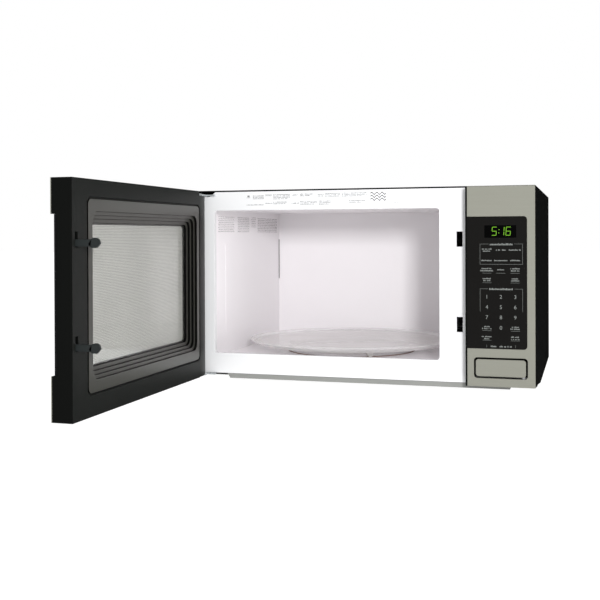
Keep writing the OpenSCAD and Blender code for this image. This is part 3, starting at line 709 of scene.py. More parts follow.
@register_piece
class BuildPlatePrint(OvenOperator, bpy.types.Operator):
    """Rows of small generic marks above the opening"""

    bl_idname = "oven.plate_print"
    bl_label = "Print on the plate"

    def execute(self, context):
        marks = random.Random(11)
        bm = bmesh.new()
        lines = [(106.3, 125.1, 283.3, 290.0, 3), (127.5, 138.8, 287.9, 291.3, 2),
                 (140.5, 169.1, 282.6, 291.7, 4), (173.2, 182.5, 287.2, 290.5, 2),
                 (185.9, 207.4, 286.8, 291.9, 2), (215.0, 225.6, 285.9, 290.5, 2),
                 (227.2, 251.7, 285.5, 292.2, 3), (255.0, 295.2, 285.4, 292.3, 3),
                 (95.2, 124.4, 273.3, 275.6, 1), (127.5, 139.7, 275.6, 277.7, 1),
                 (141.1, 164.0, 274.7, 279.8, 2), (171.8, 184.1, 275.0, 277.8, 1),
                 (185.8, 214.0, 273.4, 280.1, 3), (217.3, 237.0, 273.1, 280.3, 3),
                 (266.3, 292.0, 275.5, 280.5, 2), (326.5, 345.5, 273.6, 275.4, 1)]
        for x0, x1, z0, z1, rows in lines:
            pitch = (z1 - z0) / rows
            for row in range(rows):
                end = x1 - marks.uniform(0.0, 0.25) * (x1 - x0) * (row == rows - 1 and rows > 1)
                word_row(bm, x0, z0 + (rows - 1 - row) * pitch, end - x0, pitch * 0.58, marks, 0.75)
        for x, z, w, h in ((92.5, 282.6, 12.1, 9.9), (256.5, 276.5, 6.5, 3.2)):
            outline(bm, x, z, w, h, 0.35)
        rectangle(bm, 95.5, 285.2, 5.8, 0.6)
        rectangle(bm, 96.8, 286.6, 3.6, 2.6)
        thicken(bm, sizes().print_height / MM)
        piece("plate_marks", bm, "pale print", "cabinet", at(0, 0, 0), smooth=0)
        bm = bmesh.new()
        for row in range(3):
            base = 280.2 + row * 4.6
            ribbon(bm, [(300.7 + 24.7 * i / 24, base + 1.7 * math.sin(i / 24 * 6.9 * math.pi / 1.15))
                        for i in range(25)], 1.5)
        thicken(bm, sizes().print_height / MM)
        piece("plate_waves", bm, "plate print", "cabinet", at(0, 0, 0), smooth=0)
        return {"FINISHED"}


def ribbon(bm, line, width):
    """A flat band of even width along a line."""
    lower = [bm.verts.new((x, y - width / 2, 0)) for x, y in line]
    edges = [bm.edges.new(pair) for pair in zip(lower, lower[1:])]
    made = bmesh.ops.extrude_edge_only(bm, edges=edges)
    moved = [g for g in made["geom"] if isinstance(g, bmesh.types.BMVert)]
    bmesh.ops.translate(bm, verts=moved, vec=(0, width, 0))


def outline(bm, x, y, w, h, line, radius=0.0):
    """A thin closed frame around a rectangle."""
    corners = rectangle(bm, x, y, w, h)
    middle = Vector((x + w / 2, y + h / 2, 0))
    if radius:
        round_corners(bm, corners, radius, 4)
    face = min((f for f in bm.faces), key=lambda f: (f.calc_center_median() - middle).length + 0
               if f.calc_area() > w * h * 0.7 else 1e9)
    bmesh.ops.inset_region(bm, faces=[face], thickness=line, use_even_offset=True)
    bmesh.ops.delete(bm, geom=[face], context="FACES")


def word_row(bm, x, y, width, height, marks, solid=0.8):
    """A row of small blocks that stands for a printed word or two."""
    step = height * 0.78
    place = 0.0
    while place < width - step * 0.4:
        if marks.random() < 0.12 and 0 < place < width - 2 * step:
            place += step * 0.8
            continue
        wide = step * marks.uniform(0.5, 1.0) * solid
        tall = height * (1.0 if marks.random() < 0.3 else 0.74)
        rectangle(bm, x + place, y, min(wide, width - place), tall)
        place += wide + step * 0.26


# ---- cavity ----

# A drawing in x and y turned to lie along the cabinet's side: x runs back and y runs up
SIDEWAYS = Matrix(((0, 0, 1, 0), (1, 0, 0, 0), (0, 1, 0, 0), (0, 0, 0, 1)))


def vent_field(bm, y0, y1, z0, z1, step, radius):
    """Cuts staggered round holes into part of a flat face."""
    across = max(2, round((y1 - y0) / step))
    rows = max(2, round((z1 - z0) / step))
    dy, dz = (y1 - y0) / across, (z1 - z0) / rows

    def inside():
        return [f for f in bm.faces if y0 - 0.01 < f.calc_center_median().x < y1 + 0.01
                and z0 - 0.01 < f.calc_center_median().y < z1 + 0.01]

    def cut(faces, point, normal):
        geom = faces + list({e for f in faces for e in f.edges}) + list({v for f in faces for v in f.verts})
        bmesh.ops.bisect_plane(bm, geom=geom, dist=1e-5, plane_co=point, plane_no=normal)

    cut(list(bm.faces), (y0, 0, 0), (1, 0, 0))
    cut(list(bm.faces), (y1, 0, 0), (1, 0, 0))
    column = [f for f in bm.faces if y0 < f.calc_center_median().x < y1]
    cut(column, (0, z0, 0), (0, 1, 0))
    column = [f for f in bm.faces if y0 < f.calc_center_median().x < y1]
    cut(column, (0, z1, 0), (0, 1, 0))
    for i in range(1, across):
        cut(inside(), (y0 + i * dy, 0, 0), (1, 0, 0))
    for j in range(1, rows):
        cut(inside(), (0, z0 + j * dz, 0), (0, 1, 0))
    chosen = []
    for v in bm.verts:
        i, j = (v.co.x - y0) / dy, (v.co.y - z0) / dz
        if not (0.5 < i < across - 0.5 and 0.5 < j < rows - 0.5):
            continue
        i, j = round(i), round(j)
        if (i % 2 == 1 and j % 4 == 1) or (i % 2 == 0 and j % 4 == 3):
            chosen.append(v)
    spots = [v.co.copy() for v in chosen]
    bmesh.ops.bevel(bm, geom=chosen, offset=radius, offset_type="OFFSET", segments=2, profile=0.5,
                    affect="VERTICES", clamp_overlap=False, material=-1)
    seats = {(round((s.x - y0) / dy), round((s.y - z0) / dz)): s for s in spots}

    def in_hole(face):
        middle = face.calc_center_median()
        seat = seats.get((round((middle.x - y0) / dy), round((middle.y - z0) / dz)))
        return seat is not None and (middle - seat).length < radius * 0.8

    holes = [f for f in inside() if in_hole(f)]
    bmesh.ops.delete(bm, geom=holes, context="FACES")


@register_piece
class BuildCavity(OvenOperator, bpy.types.Operator):
    """Painted cavity with its perforated vent fields and seams, with painted shade in the vent holes, behind the
    vents and along the back corner seam
    """

    bl_idname = "oven.cavity"
    bl_label = "Cavity"

    def execute(self, context):
        for node in ("cavity_right_wall", "cavity_roof", "cavity_floor", "cavity_back_wall"):
            plain(node, "cavity enamel")
        bm = bmesh.new()
        rectangle(bm, 1.0, 22.0, 376.0, 246.0)
        hole = sizes().vent_hole / MM
        vent_field(bm, 46.0, 123.0, 230.0, 258.0, 1.6, hole * 0.70)
        vent_field(bm, 139.0, 201.0, 230.0, 258.0, 1.6, hole * 0.72)
        vent_field(bm, 211.0, 237.0, 239.0, 259.0, 1.6, hole * 0.72)
        vent_field(bm, 246.0, 364.0, 230.0, 258.0, 1.55, hole * 0.74)
        thicken(bm, 0.8)
        wall = piece("vented_wall", bm, "cavity enamel", "cabinet",
                     PLACE @ Matrix.Translation((26.4, 0, 0)) @ SIDEWAYS,
                     ("cavity_left_wall",), smooth=0)
        # the rims of the vent holes and the wall's cut edges get dark paint: painted shade
        second_finish(wall, "hole rim painted shade", lambda f: abs(f.normal.x) < 0.4)
        bm = bmesh.new()
        # a dark sheet behind the vents: painted shade seen through the holes
        rectangle(bm, 44.0, 228.0, 322.0, 33.0)
        thicken(bm, 0.6)
        piece("vent_shade_sheet", bm, "grey trim", "cabinet", PLACE @ Matrix.Translation((19.0, 0, 0)) @ SIDEWAYS,
              smooth=0)
        # a dark strip up the back left corner: the seam there, with painted shade in its gap
        bm = bmesh.new()
        block(bm, 27.2, 374.6, 138.0, 0.8, 2.2, 79.0)
        soften(bm, 0.3, 2)
        piece("back_corner_seam_shade", bm, "plate print", "cabinet")
        # stamped border of the side wall, running down and then back along it
        bm = bmesh.new()
        bend = [(80.5 + 16 * (1 - math.cos(a * math.pi / 16)), 70.0 - 16 * math.sin(a * math.pi / 16))
                for a in range(9)]
        ribbon(bm, [(78.5, 208.0), (78.8, 150.0), (79.5, 90.0)] + bend + [(160.0, 53.6), (232.0, 53.4)], 1.4)
        thicken(bm, 0.5)
        soften(bm, 0.3, 2)
        piece("side_wall_bead", bm, "cavity enamel", "cabinet",
              PLACE @ Matrix.Translation((27.1, 0, 0)) @ SIDEWAYS)
        # a thin brown ring raised on the floor along the wheels' path
        bm = bmesh.new()
        ring = [(109.4, 0.05), (109.4, 0.9), (112.6, 0.9), (112.6, 0.05), (109.4, 0.05)]
        spin_profile(bm, ring, (TRAY_AT[0], TRAY_AT[1], FLOOR_Z), 96)
        bmesh.ops.remove_doubles(bm, verts=bm.verts, dist=0.001)
        bmesh.ops.recalc_face_normals(bm, faces=bm.faces)
        piece("wheel_track", bm, "brown track ring", "cabinet")
        return {"FINISHED"}


def block(bm, x, y, z, w, d, h):
    """A solid block with its lowest corner at x, y, z."""
    made = bmesh.ops.create_cube(bm, size=1.0)
    move = Matrix.Translation((x + w / 2, y + d / 2, z + h / 2)) @ Matrix.Diagonal((w, d, h, 1))
    bmesh.ops.transform(bm, matrix=move, verts=made["verts"])
    return made["verts"]


# ---- hinges and screws ----


@register_piece
class BuildHinges(OvenOperator, bpy.types.Operator):
    """Pressed hinge brackets with pins and nylon bushes"""

    bl_idname = "oven.hinges"
    bl_label = "Hinges"

    def execute(self, context):
        for side in ("upper", "lower"):
            refined(side + "_hinge_bracket", side + "_hinge_leaf", "zinc plate", 0.0003, 2,
                    choose=lambda edge: edge.calc_length() > 0.0008)
        plain("hinge_pins", "zinc plate")
        plain("hinge_bushes", "natural nylon")
        return {"FINISHED"}


def screw_head(bm, radius, tall, shank, length, move):
    """A domed head with a cross recess, and its shank below."""
    start = set(bm.verts)
    rim = bmesh.ops.create_circle(bm, cap_ends=False, radius=radius * 0.8, segments=24)["verts"]
    arm, half = radius * 0.55, radius * 0.13
    plus = [(half, half), (half, arm), (-half, arm), (-half, half), (-arm, half), (-arm, -half),
            (-half, -half), (-half, -arm), (half, -arm), (half, -half), (arm, -half), (arm, half)]
    corners = [bm.verts.new((x, y, 0)) for x, y in plus]
    slots = [bm.edges.new((corners[i], corners[(i + 1) % 12])) for i in range(12)]
    circle = list({e for v in rim for e in v.link_edges})
    bmesh.ops.triangle_fill(bm, use_beauty=True, edges=slots + circle)
    made = bmesh.ops.extrude_edge_only(bm, edges=slots)
    low = [g for g in made["geom"] if isinstance(g, bmesh.types.BMVert)]
    bmesh.ops.translate(bm, verts=low, vec=(0, 0, -tall * 0.6))
    bmesh.ops.contextual_create(bm, geom=[e for e in made["geom"] if isinstance(e, bmesh.types.BMEdge)
                                          and all(v in low for v in e.verts)])
    edge = circle
    for r, z in ((0.95, -0.25), (1.0, -0.6), (1.0, -1.0), (shank / radius, -1.0),
                 (shank / radius, -1.0 - length / tall)):
        made = bmesh.ops.extrude_edge_only(bm, edges=edge)
        ring = [g for g in made["geom"] if isinstance(g, bmesh.types.BMVert)]
        for v in ring:
            flat = Vector((v.co.x, v.co.y, 0)).normalized() * radius * r
            v.co = Vector((flat.x, flat.y, z * tall))
        edge = [g for g in made["geom"]
                if isinstance(g, bmesh.types.BMEdge) and all(v in ring for v in g.verts)]
    bmesh.ops.contextual_create(bm, geom=edge)
    new = [v for v in bm.verts if v not in start]
    bmesh.ops.recalc_face_normals(bm, faces=list({f for v in new for f in v.link_faces}))
    bmesh.ops.transform(bm, matrix=move, verts=new)


@register_piece
class BuildScrews(OvenOperator, bpy.types.Operator):
    """Case screws and chassis screws with cross recesses"""

    bl_idname = "oven.screws"
    bl_label = "Screws"

    def execute(self, context):
        back = Matrix.Rotation(-math.pi / 2, 4, "X")
        down = Matrix.Rotation(math.pi, 4, "X")
        bm = bmesh.new()
        for x in (5.3, 546.7):
            for z in (20, 150, 280):
                screw_head(bm, 3.8, 2.2, 1.9, 6.0, Matrix.Translation((x, 469.0, z)) @ back)
        piece("case_screws_crossed", bm, "blackened steel", "cabinet",
              replaces=("case_screws",))
        bm = bmesh.new()
        for z in (262, 278, 10, 24):
            screw_head(bm, 3.8, 2.2, 1.9, 1.4, Matrix.Translation((17.5, 4.82, z)) @ back)
        for x, y in ((445.8, 170), (528.2, 170), (445.8, 240), (528.2, 240)):
            screw_head(bm, 3.8, 2.2, 1.9, 0.8, Matrix.Translation((x, y, -10.4)) @ down)
        piece("chassis_screws_crossed", bm, "zinc plate", "cabinet",
              replaces=("chassis_screws",))
        return {"FINISHED"}


# ---- door ----


@register_piece
class BuildDoor(OvenOperator, bpy.types.Operator):
    """Moulded door with its steel bands, glass and inner panel"""

    bl_idname = "oven.door"
    bl_label = "Door"

    def execute(self, context):
        moulding = refined("door_frame", "door_moulding", "door moulding", 0.0006, 2)
        # faces turned to the front (the free end of the open door) get the darker copy of the moulding: painted shade
        second_finish(moulding, "door end painted shade", lambda f: f.normal.y < -0.8)
        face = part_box("door_top_band")[0].x

        def outer(edge):
            return all(abs(v.co.x - face) < 0.0001 for v in edge.verts)

        refined("door_top_band", "top_steel_band", "brushed steel door", 0.0005, 3, outer)
        refined("door_bottom_band", "bottom_steel_band", "brushed steel door", 0.0005, 3, outer)
        refined("door_outer_glass", "door_glass", "dark glass", 0.0004, 2)
        plain("door_mesh_screen", "screen steel")
        inner = refined("door_inner_panel", "door_inner_moulding", "grey trim", 0.0005, 2)
        # the risers of the steps in the inner moulding get near-black paint: painted shade in the grooves
        second_finish(inner, "step riser painted shade", lambda f: abs(f.normal.x) < 0.4)
        plain("door_inner_window", "clear sheet")
        return {"FINISHED"}


@register_piece
class BuildLatchHooks(OvenOperator, bpy.types.Operator):
    """Latch bar with two curved hooks, and its spring"""

    bl_idname = "oven.latch_hooks"
    bl_label = "Latch hooks"

    def execute(self, context):
        bm = bmesh.new()
        block(bm, 435.2, -14.5, 68.0, 4.2, 5.4, 166.0)
        for z in (211.8, 85.8):
            start = set(bm.verts)
            shape = [(-10.5, 0.0), (15.0, 0.0), (18.6, -0.6), (19.6, -1.8), (26.2, -1.9), (30.7, 3.4),
                     (29.6, 7.6), (26.6, 10.2), (22.4, 10.4), (18.2, 8.5), (-10.5, 8.5)]
            profile = polygon(bm, shape)
            round_corners(bm, [profile[i] for i in (1, 2, 3, 6, 7, 8, 9)], 1.1, 3)
            new = [v for v in bm.verts if v not in start]
            faces = list({f for v in new for f in v.link_faces})
            made = bmesh.ops.extrude_face_region(bm, geom=faces, use_keep_orig=True)
            up = [g for g in made["geom"] if isinstance(g, bmesh.types.BMVert)]
            bmesh.ops.translate(bm, verts=up, vec=(0, 0, 4.2))
            new = [v for v in bm.verts if v not in start]
            bmesh.ops.transform(bm, matrix=Matrix.Translation((435.2, 0, z)) @ SIDEWAYS, verts=new)
        bmesh.ops.recalc_face_normals(bm, faces=bm.faces)
        soften(bm, 0.4, 2, 50.0)
        piece("latch_hook_bar", bm, "hook moulding", "hooks", ON_DOOR, ("latch_hooks",))
        bm = bmesh.new()
        coil(bm, 437.3, -11.9, 234.6, 2.25, 0.32, 14.6, 8)
        piece("latch_coil", bm, "zinc plate", "door", ON_DOOR, ("latch_spring",), smooth=60)
        return {"FINISHED"}


def coil(bm, x, y, z, radius, wire, tall, turns):
    """A coil spring of round wire standing on x, y, z."""
    ring = bmesh.ops.create_circle(bm, cap_ends=True, radius=wire, segments=8)
    stand = Matrix.Translation((x + radius, y, z)) @ Matrix.Rotation(math.pi / 2, 4, "X")
    bmesh.ops.transform(bm, matrix=stand, verts=ring["verts"])
    faces = list({f for v in ring["verts"] for f in v.link_faces})
    steps = 16 * turns
    bmesh.ops.spin(bm, geom=faces, cent=(x, y, z), axis=(0, 0, 1), dvec=(0, 0, (tall - 2 * wire) / steps),
                   angle=2 * math.pi * turns, steps=steps, use_merge=False, use_duplicate=False)
    bmesh.ops.translate(bm, verts=bm.verts, vec=(0, 0, wire))
    bmesh.ops.recalc_face_normals(bm, faces=bm.faces)


# ---- control panel ----


def segment_digit(bm, lit, x, z, w, h, line, slant):
    """A digit of seven bars."""
    half = h / 2
    gap = line * 0.3
    bars = {
        "a": (x + gap, z + h - line, w - 2 * gap, line), "d": (x + gap, z, w - 2 * gap, line),
        "g": (x + gap, z + half - line / 2, w - 2 * gap, line),
        "f": (x, z + half + gap, line, half - 2 * gap), "b": (x + w - line, z + half + gap, line, half - 2 * gap),
        "e": (x, z + gap, line, half - 2 * gap), "c": (x + w - line, z + gap, line, half - 2 * gap)}
    for key in lit:
        bx, bz, bw, bh = bars[key]
        flat = bw > bh
        t = line / 2
        if flat:
            points = [(bx, bz + t), (bx + t, bz), (bx + bw - t, bz), (bx + bw, bz + t),
                      (bx + bw - t, bz + bh), (bx + t, bz + bh)]
        else:
            points = [(bx + t, bz), (bx + bw, bz + t), (bx + bw, bz + bh - t), (bx + t, bz + bh),
                      (bx, bz + bh - t), (bx, bz + t)]
        polygon(bm, [(px + (pz - z) * slant, pz) for px, pz in points])


def numeral(bm, text, x, z, height):
    """A printed numeral, centred on x with its foot at z."""
    curve = bpy.data.curves.new("numeral", "FONT")
    curve.body = text
    curve.size = height / 0.69
    curve.resolution_u = 4
    holder = bpy.data.objects.new("numeral", curve)
    bpy.context.scene.collection.objects.link(holder)
    bpy.context.view_layer.update()
    mesh = bpy.data.meshes.new_from_object(holder.evaluated_get(bpy.context.evaluated_depsgraph_get()))
    bpy.data.objects.remove(holder)
    bpy.data.curves.remove(curve)
    wide = [v.co.x for v in mesh.vertices]
    mesh.transform(Matrix.Translation((x - (min(wide) + max(wide)) / 2, z, 0)))
    bm.from_mesh(mesh)
    bpy.data.meshes.remove(mesh)


@register_piece
class BuildControlPanel(OvenOperator, bpy.types.Operator):
    """Brushed fascia, keypad film and housing"""

    bl_idname = "oven.control_panel"
    bl_label = "Control panel"

    def execute(self, context):
        front = lying(1, FRONT)
        refined("control_housing", "panel_housing", "case coating", 0.0004, 2, front)
        refined("control_fascia", "steel_fascia", "brushed steel", 0.0007, 3, front)
        refined("keypad_overlay", "keypad_film", "keypad film", 0.0003, 2, front)
        plain("keypad_membrane", "printed film")
        plain("display_module", "black moulding")
        bm = bmesh.new()
        face = rectangle(bm, 479.1, 219.6, 46.1, 18.4)
        round_corners(bm, face, 0.8, 3)
        thicken(bm, 0.05)
        piece("display_window", bm, "display glass", "cabinet", at(0, FRONT, 0), smooth=0)
        return {"FINISHED"}


@register_piece
class BuildDigits(OvenOperator, bpy.types.Operator):
    """Lit clock digits in the display"""

    bl_idname = "oven.digits"
    bl_label = "Display digits"

    def execute(self, context):
        bm = bmesh.new()
        segment_digit(bm, "afgcd", 489.4, 222.8, 7.2, 13.0, 0.95, 0.07)
        segment_digit(bm, "bc", 500.4, 222.8, 7.2, 13.0, 0.95, 0.07)
        segment_digit(bm, "afgecd", 509.6, 222.8, 7.2, 13.0, 0.95, 0.07)
        for z in (226.2, 231.0):
            rectangle(bm, 499.2 + (z - 222.8) * 0.07, z, 1.2, 1.2)
        thicken(bm, 0.05)
        piece("clock_digits", bm, "lit segments", "cabinet", at(0, FRONT - 0.05, 0), smooth=0)
        return {"FINISHED"}


@register_piece
class BuildKeypadPrint(OvenOperator, bpy.types.Operator):
    """Numerals, generic label marks and rules on the keypad"""

    bl_idname = "oven.keypad_print"
    bl_label = "Keypad print"

    def execute(self, context):
        marks = random.Random(5)
        bm = bmesh.new()
        left, middle, right = 482.5, 502.8, 523.5
        for z, row in ((132.7, "123"), (117.6, "456"), (102.5, "789"), (87.2, " 0 ")):
            for x, text in zip((left, middle, right), row):
                if text != " ":
                    numeral(bm, text, x, z - 2.6, 5.4)
        labels = [(left, 203.2, 14), (left, 200.2, 11), (middle, 201.7, 14), (right, 201.7, 18),
                  (left, 186.3, 16), (middle, 186.3, 19), (right, 186.3, 14),
                  (left, 174.4, 15), (left, 171.2, 19), (middle, 172.8, 10), (right, 174.4, 14), (right, 171.2, 12),
                  (left, 159.6, 12), (left, 156.6, 10), (right, 159.6, 10), (right, 156.6, 12),
                  (left, 88.8, 8), (left, 85.8, 14), (right, 88.8, 10), (right, 85.8, 14),
                  (right, 74.1, 12), (right, 70.9, 12), (left, 74.1, 15), (left, 70.9, 8)]
        for x, z, wide in labels:
            word_row(bm, x - wide / 2, z - 1.0, wide, 2.0, marks)
        for x, z in ((left, 167.4), (middle, 167.4), (right, 167.4), (left, 153.2), (right, 153.2),
                     (left, 82.6), (right, 82.6), (left, 68.4), (right, 68.4)):
            rectangle(bm, x - 6.5, z, 13.0, 0.3)
        word_row(bm, 487.0, 208.6, 33.0, 2.8, marks)
        word_row(bm, 486.0, 142.8, 34.0, 2.8, marks)
        word_row(bm, 488.0, 58.6, 30.0, 2.4, marks)
        for x0, x1 in ((472.6, 485.0), (522.0, 534.2)):
            rectangle(bm, x0, 210.3, x1 - x0, 0.3)
        for x in (472.6, 533.9):
            rectangle(bm, x, 180.6, 0.3, 29.8)
            rectangle(bm, x, 110.8, 0.3, 33.6)
        rectangle(bm, 472.6, 180.4, 61.6, 0.3)
        for x0, x1 in ((472.6, 484.0), (522.4, 534.2)):
            rectangle(bm, x0, 144.3, x1 - x0, 0.3)
        for x in (482.0, 523.5):
            rectangle(bm, x, 58.0, 0.3, 4.0)
        thicken(bm, sizes().print_height / MM)
        piece("keypad_marks", bm, "keypad print", "cabinet", at(0, FRONT, 0), smooth=0)
        return {"FINISHED"}


@register_piece
class BuildDoorButton(OvenOperator, bpy.types.Operator):
    """Door button with its steel cap, plunger and spring"""

    bl_idname = "oven.door_button"
    bl_label = "Door button"

    def execute(self, context):
        refined("door_button_cap", "button_steel_cap", "brushed steel", 0.0009, 4, lying(1, FRONT))
        refined("door_button_plunger", "button_plunger", "black moulding", 0.0004, 2)
        bm = bmesh.new()
        coil(bm, 0, 0, 0, 3.6, 0.4, 20.0, 7)
        turn = Matrix.Translation((506.0, -22.8, 27.6)) @ Matrix.Rotation(-math.pi / 2, 4, "X")
        piece("button_coil", bm, "zinc plate", "button", PLACE @ turn,
              ("button_spring",), smooth=60)
        return {"FINISHED"}


@register_piece
class BuildLatchWorks(OvenOperator, bpy.types.Operator):
    """Latch board, lever, lifter and interlock switches"""

    bl_idname = "oven.latch_works"
    bl_label = "Latch works"

    def execute(self, context):
        plain("latch_board", "black moulding")
        plain("release_lever", "black moulding")
        plain("latch_lifter", "black moulding")
        plain("lever_pin", "zinc plate")
        plain("interlock_switches", "black moulding")
        return {"FINISHED"}


@register_piece
class BuildElectrics(OvenOperator, bpy.types.Operator):
    """Magnetron, transformer, capacitor, boards and lamp"""

    bl_idname = "oven.electrics"
    bl_label = "Electrics"

    def execute(self, context):
        for node, material in (("control_board", "circuit laminate"), ("magnetron", "bare aluminium"),
                               ("waveguide", "galvanised sheet"), ("waveguide_cover", "mica"),
                               ("transformer_core", "varnished laminations"),
                               ("transformer_windings", "enamelled copper"), ("capacitor", "bare aluminium"),
                               ("capacitor_bracket", "galvanised sheet"), ("noise_filter_board", "circuit laminate"),
                               ("cavity_lamp", "lamp parts"), ("thermal_cutouts", "black moulding")):
            plain(node, material)
        return {"FINISHED"}


@register_piece
class BuildFan(OvenOperator, bpy.types.Operator):
    """Cooling fan"""

    bl_idname = "oven.fan"
    bl_label = "Fan"

    def execute(self, context):
        plain("fan_shroud", "grey moulding")
        plain("fan_motor", "galvanised sheet")
        plain("fan_blade", "natural nylon")
        return {"FINISHED"}


@register_piece
class BuildTurntable(OvenOperator, bpy.types.Operator):
    """Glass tray on its roller ring, coupler and motor"""

    bl_idname = "oven.turntable"
    bl_label = "Turntable"

    def execute(self, context):
        x, y = TRAY_AT
        bm = bmesh.new()
        profile = [(0, 0), (120, 0), (166.5, 0), (169.5, 0.4), (172.0, 1.5), (177.0, 5.0), (178.0, 6.4), (177.9, 7.4),
                   (177.2, 8.0), (175.8, 8.0), (174.9, 7.6), (169.0, 5.2), (166.5, 4.6), (120, 4.6), (0, 4.6)]
        spin_profile(bm, profile, (x, y, 35.6), 128)
        bmesh.ops.recalc_face_normals(bm, faces=bm.faces)
        for angle in (60, 180, 300):
            start = set(bm.verts)
            block(bm, 13.0, -4.0, -4.0, 8.0, 8.0, 3.9)
            new = [v for v in bm.verts if v not in start]
            turn = Matrix.Translation((x, y, 35.6)) @ Matrix.Rotation(math.radians(angle), 4, "Z")
            bmesh.ops.transform(bm, matrix=turn, verts=new)
        piece("glass_turntable", bm, "tray glass", "tray", replaces=("glass_tray",), smooth=30)
        plain("roller_ring", "ring moulding")
        for letter in "abc":
            plain("ring_wheel_" + letter, "ring moulding")
        plain("drive_coupler", "natural nylon")
        plain("turntable_motor", "galvanised sheet")
        return {"FINISHED"}


# Lights in millimetres from the plate's corner; camera in metres and radians (yaw, pitch, roll)
KEY_AT = (843.0, -1500.0, 437.0)
KEY_AIM = (223.0, 200.0, 130.0)
CAVITY_LIGHT_AT = (223.0, 6.0, 150.0)
CAMERA_AT = (0.3489, -1.46405, 0.2433)
CAMERA_TURN = (0.294, -0.0042, -0.0038)


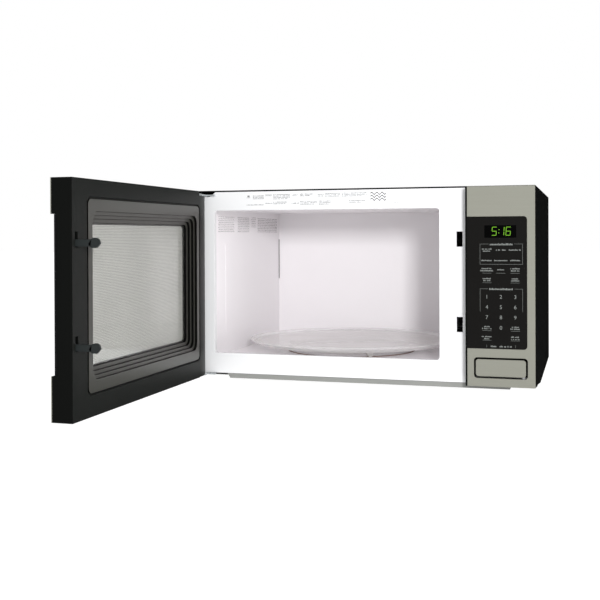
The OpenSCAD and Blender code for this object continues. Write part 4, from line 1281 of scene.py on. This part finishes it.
@register_piece
class BuildStage(OvenOperator, bpy.types.Operator):
    """Pale floor, soft light and camera"""

    bl_idname = "oven.stage"
    bl_label = "Stage"

    def execute(self, context):
        look = context.scene.oven_stage
        bm = bmesh.new()
        bmesh.ops.create_grid(bm, x_segments=1, y_segments=1, size=12.0)
        mesh = bpy.data.meshes.new("floor")
        bm.to_mesh(mesh)
        bm.free()
        floor = bpy.data.objects.new("floor", mesh)
        context.scene.collection.objects.link(floor)
        paper = finish("floor paper", shade(look.floor, 0.4), 0.9, second=shade(look.floor, 0.395), patch=3.0,
                       Emission_Strength=0.92, Specular_IOR_Level=0.0)
        tree = paper.node_tree
        bsdf = tree.nodes["Principled BSDF"]
        path = tree.nodes.new("ShaderNodeLightPath")
        dim = tree.nodes.new("ShaderNodeMix")
        dim.data_type = "RGBA"
        dim.inputs[6].default_value = (1.0, 1.0, 1.0, 1.0)
        dim.inputs[7].default_value = (0.03, 0.03, 0.03, 1.0)
        tree.links.new(path.outputs["Is Glossy Ray"], dim.inputs[0])
        tree.links.new(dim.outputs[2], bsdf.inputs["Emission Color"])
        tone = bsdf.inputs["Base Color"].links[0].from_socket
        duller = tree.nodes.new("ShaderNodeMix")
        duller.data_type = "RGBA"
        duller.blend_type = "MULTIPLY"
        duller.inputs[0].default_value = 1.0
        tree.links.new(tone, duller.inputs[6])
        tree.links.new(dim.outputs[2], duller.inputs[7])
        tree.links.new(duller.outputs[2], bsdf.inputs["Base Color"])
        floor.data.materials.append(paper)
        world = bpy.data.worlds.new("soft light")
        world.use_nodes = True
        background = world.node_tree.nodes["Background"]
        background.inputs["Color"].default_value = (1.0, 1.0, 1.0, 1.0)
        # dark beyond the lamps where gloss looks, white where the camera does
        tree = world.node_tree
        path = tree.nodes.new("ShaderNodeLightPath")
        glossy = math_node(tree, "MULTIPLY", path.outputs["Is Glossy Ray"], 0.97 * look.sky)
        soft = math_node(tree, "SUBTRACT", look.sky, glossy)
        strength = math_node(tree, "MAXIMUM", soft, path.outputs["Is Camera Ray"])
        tree.links.new(strength, background.inputs["Strength"])
        context.scene.world = world
        light = bpy.data.lights.new("key", "AREA")
        light.shape = "SQUARE"
        light.size = 0.16
        light.energy = look.key
        key = bpy.data.objects.new("key", light)
        context.scene.collection.objects.link(key)
        key.visible_glossy = False
        key.location = PLACE @ Vector(KEY_AT)
        aim = (PLACE @ Vector(KEY_AIM) - key.location).to_track_quat("-Z", "Y")
        key.rotation_euler = aim.to_euler()
        light = bpy.data.lights.new("cavity fill", "AREA")
        light.shape = "RECTANGLE"
        light.size, light.size_y = 0.34, 0.19
        light.energy = look.fill
        inner = bpy.data.objects.new("cavity fill", light)
        context.scene.collection.objects.link(inner)
        inner.visible_camera = inner.visible_glossy = inner.visible_transmission = False
        inner.location = PLACE @ Vector(CAVITY_LIGHT_AT)
        inner.rotation_euler = Vector((0.0, 1.0, 0.0)).to_track_quat("-Z", "Z").to_euler()
        lens = bpy.data.cameras.new("camera")
        lens.lens = 56.99
        lens.sensor_width = 36.0
        lens.shift_y = -0.1
        lens.clip_start = 0.02
        lens.clip_end = 60.0
        camera = bpy.data.objects.new("camera", lens)
        context.scene.collection.objects.link(camera)
        yaw, pitch, roll = CAMERA_TURN
        ahead = Vector((-math.sin(yaw) * math.cos(pitch), math.cos(yaw) * math.cos(pitch), math.sin(pitch)))
        right = Vector((math.cos(yaw), math.sin(yaw), 0.0))
        up = right.cross(ahead)
        level = math.cos(roll) * right + math.sin(roll) * up
        upright = math.cos(roll) * up - math.sin(roll) * right
        turn = Matrix((level, upright, -ahead)).transposed()
        camera.matrix_world = Matrix.Translation(CAMERA_AT) @ turn.to_4x4()
        context.scene.camera = camera
        context.scene.view_settings.view_transform = "Standard"
        return {"FINISHED"}


# ---- panel in the sidebar ----


class OVEN_PT_pieces(bpy.types.Panel):
    """Lists the oven's settings and its pieces"""

    bl_label = "Microwave oven"
    bl_idname = "OVEN_PT_pieces"
    bl_space_type = "VIEW_3D"
    bl_region_type = "UI"
    bl_category = "Oven"

    def draw(self, context):
        layout = self.layout
        scene = context.scene
        for settings in (scene.oven_sizes, scene.oven_colours, scene.oven_stage):
            box = layout.box()
            for name in settings.__annotations__:
                box.prop(settings, name)
        column = layout.column(align=True)
        for cls in PIECES:
            column.operator(cls.bl_idname)


SETTINGS = ((OvenSizes, "oven_sizes"), (OvenColours, "oven_colours"), (OvenStage, "oven_stage"))


def register():
    for cls, name in SETTINGS:
        bpy.utils.register_class(cls)
        setattr(bpy.types.Scene, name, bpy.props.PointerProperty(type=cls))
    for cls in PIECES:
        bpy.utils.register_class(cls)
    bpy.utils.register_class(OVEN_PT_pieces)


def unregister():
    bpy.utils.unregister_class(OVEN_PT_pieces)
    for cls in reversed(PIECES):
        bpy.utils.unregister_class(cls)
    for cls, name in reversed(SETTINGS):
        delattr(bpy.types.Scene, name)
        bpy.utils.unregister_class(cls)


def main():
    register()
    make_finishes()
    for cls in PIECES:
        family, name = cls.bl_idname.split(".")
        getattr(getattr(bpy.ops, family), name)()


if __name__ == "__main__":
    main()
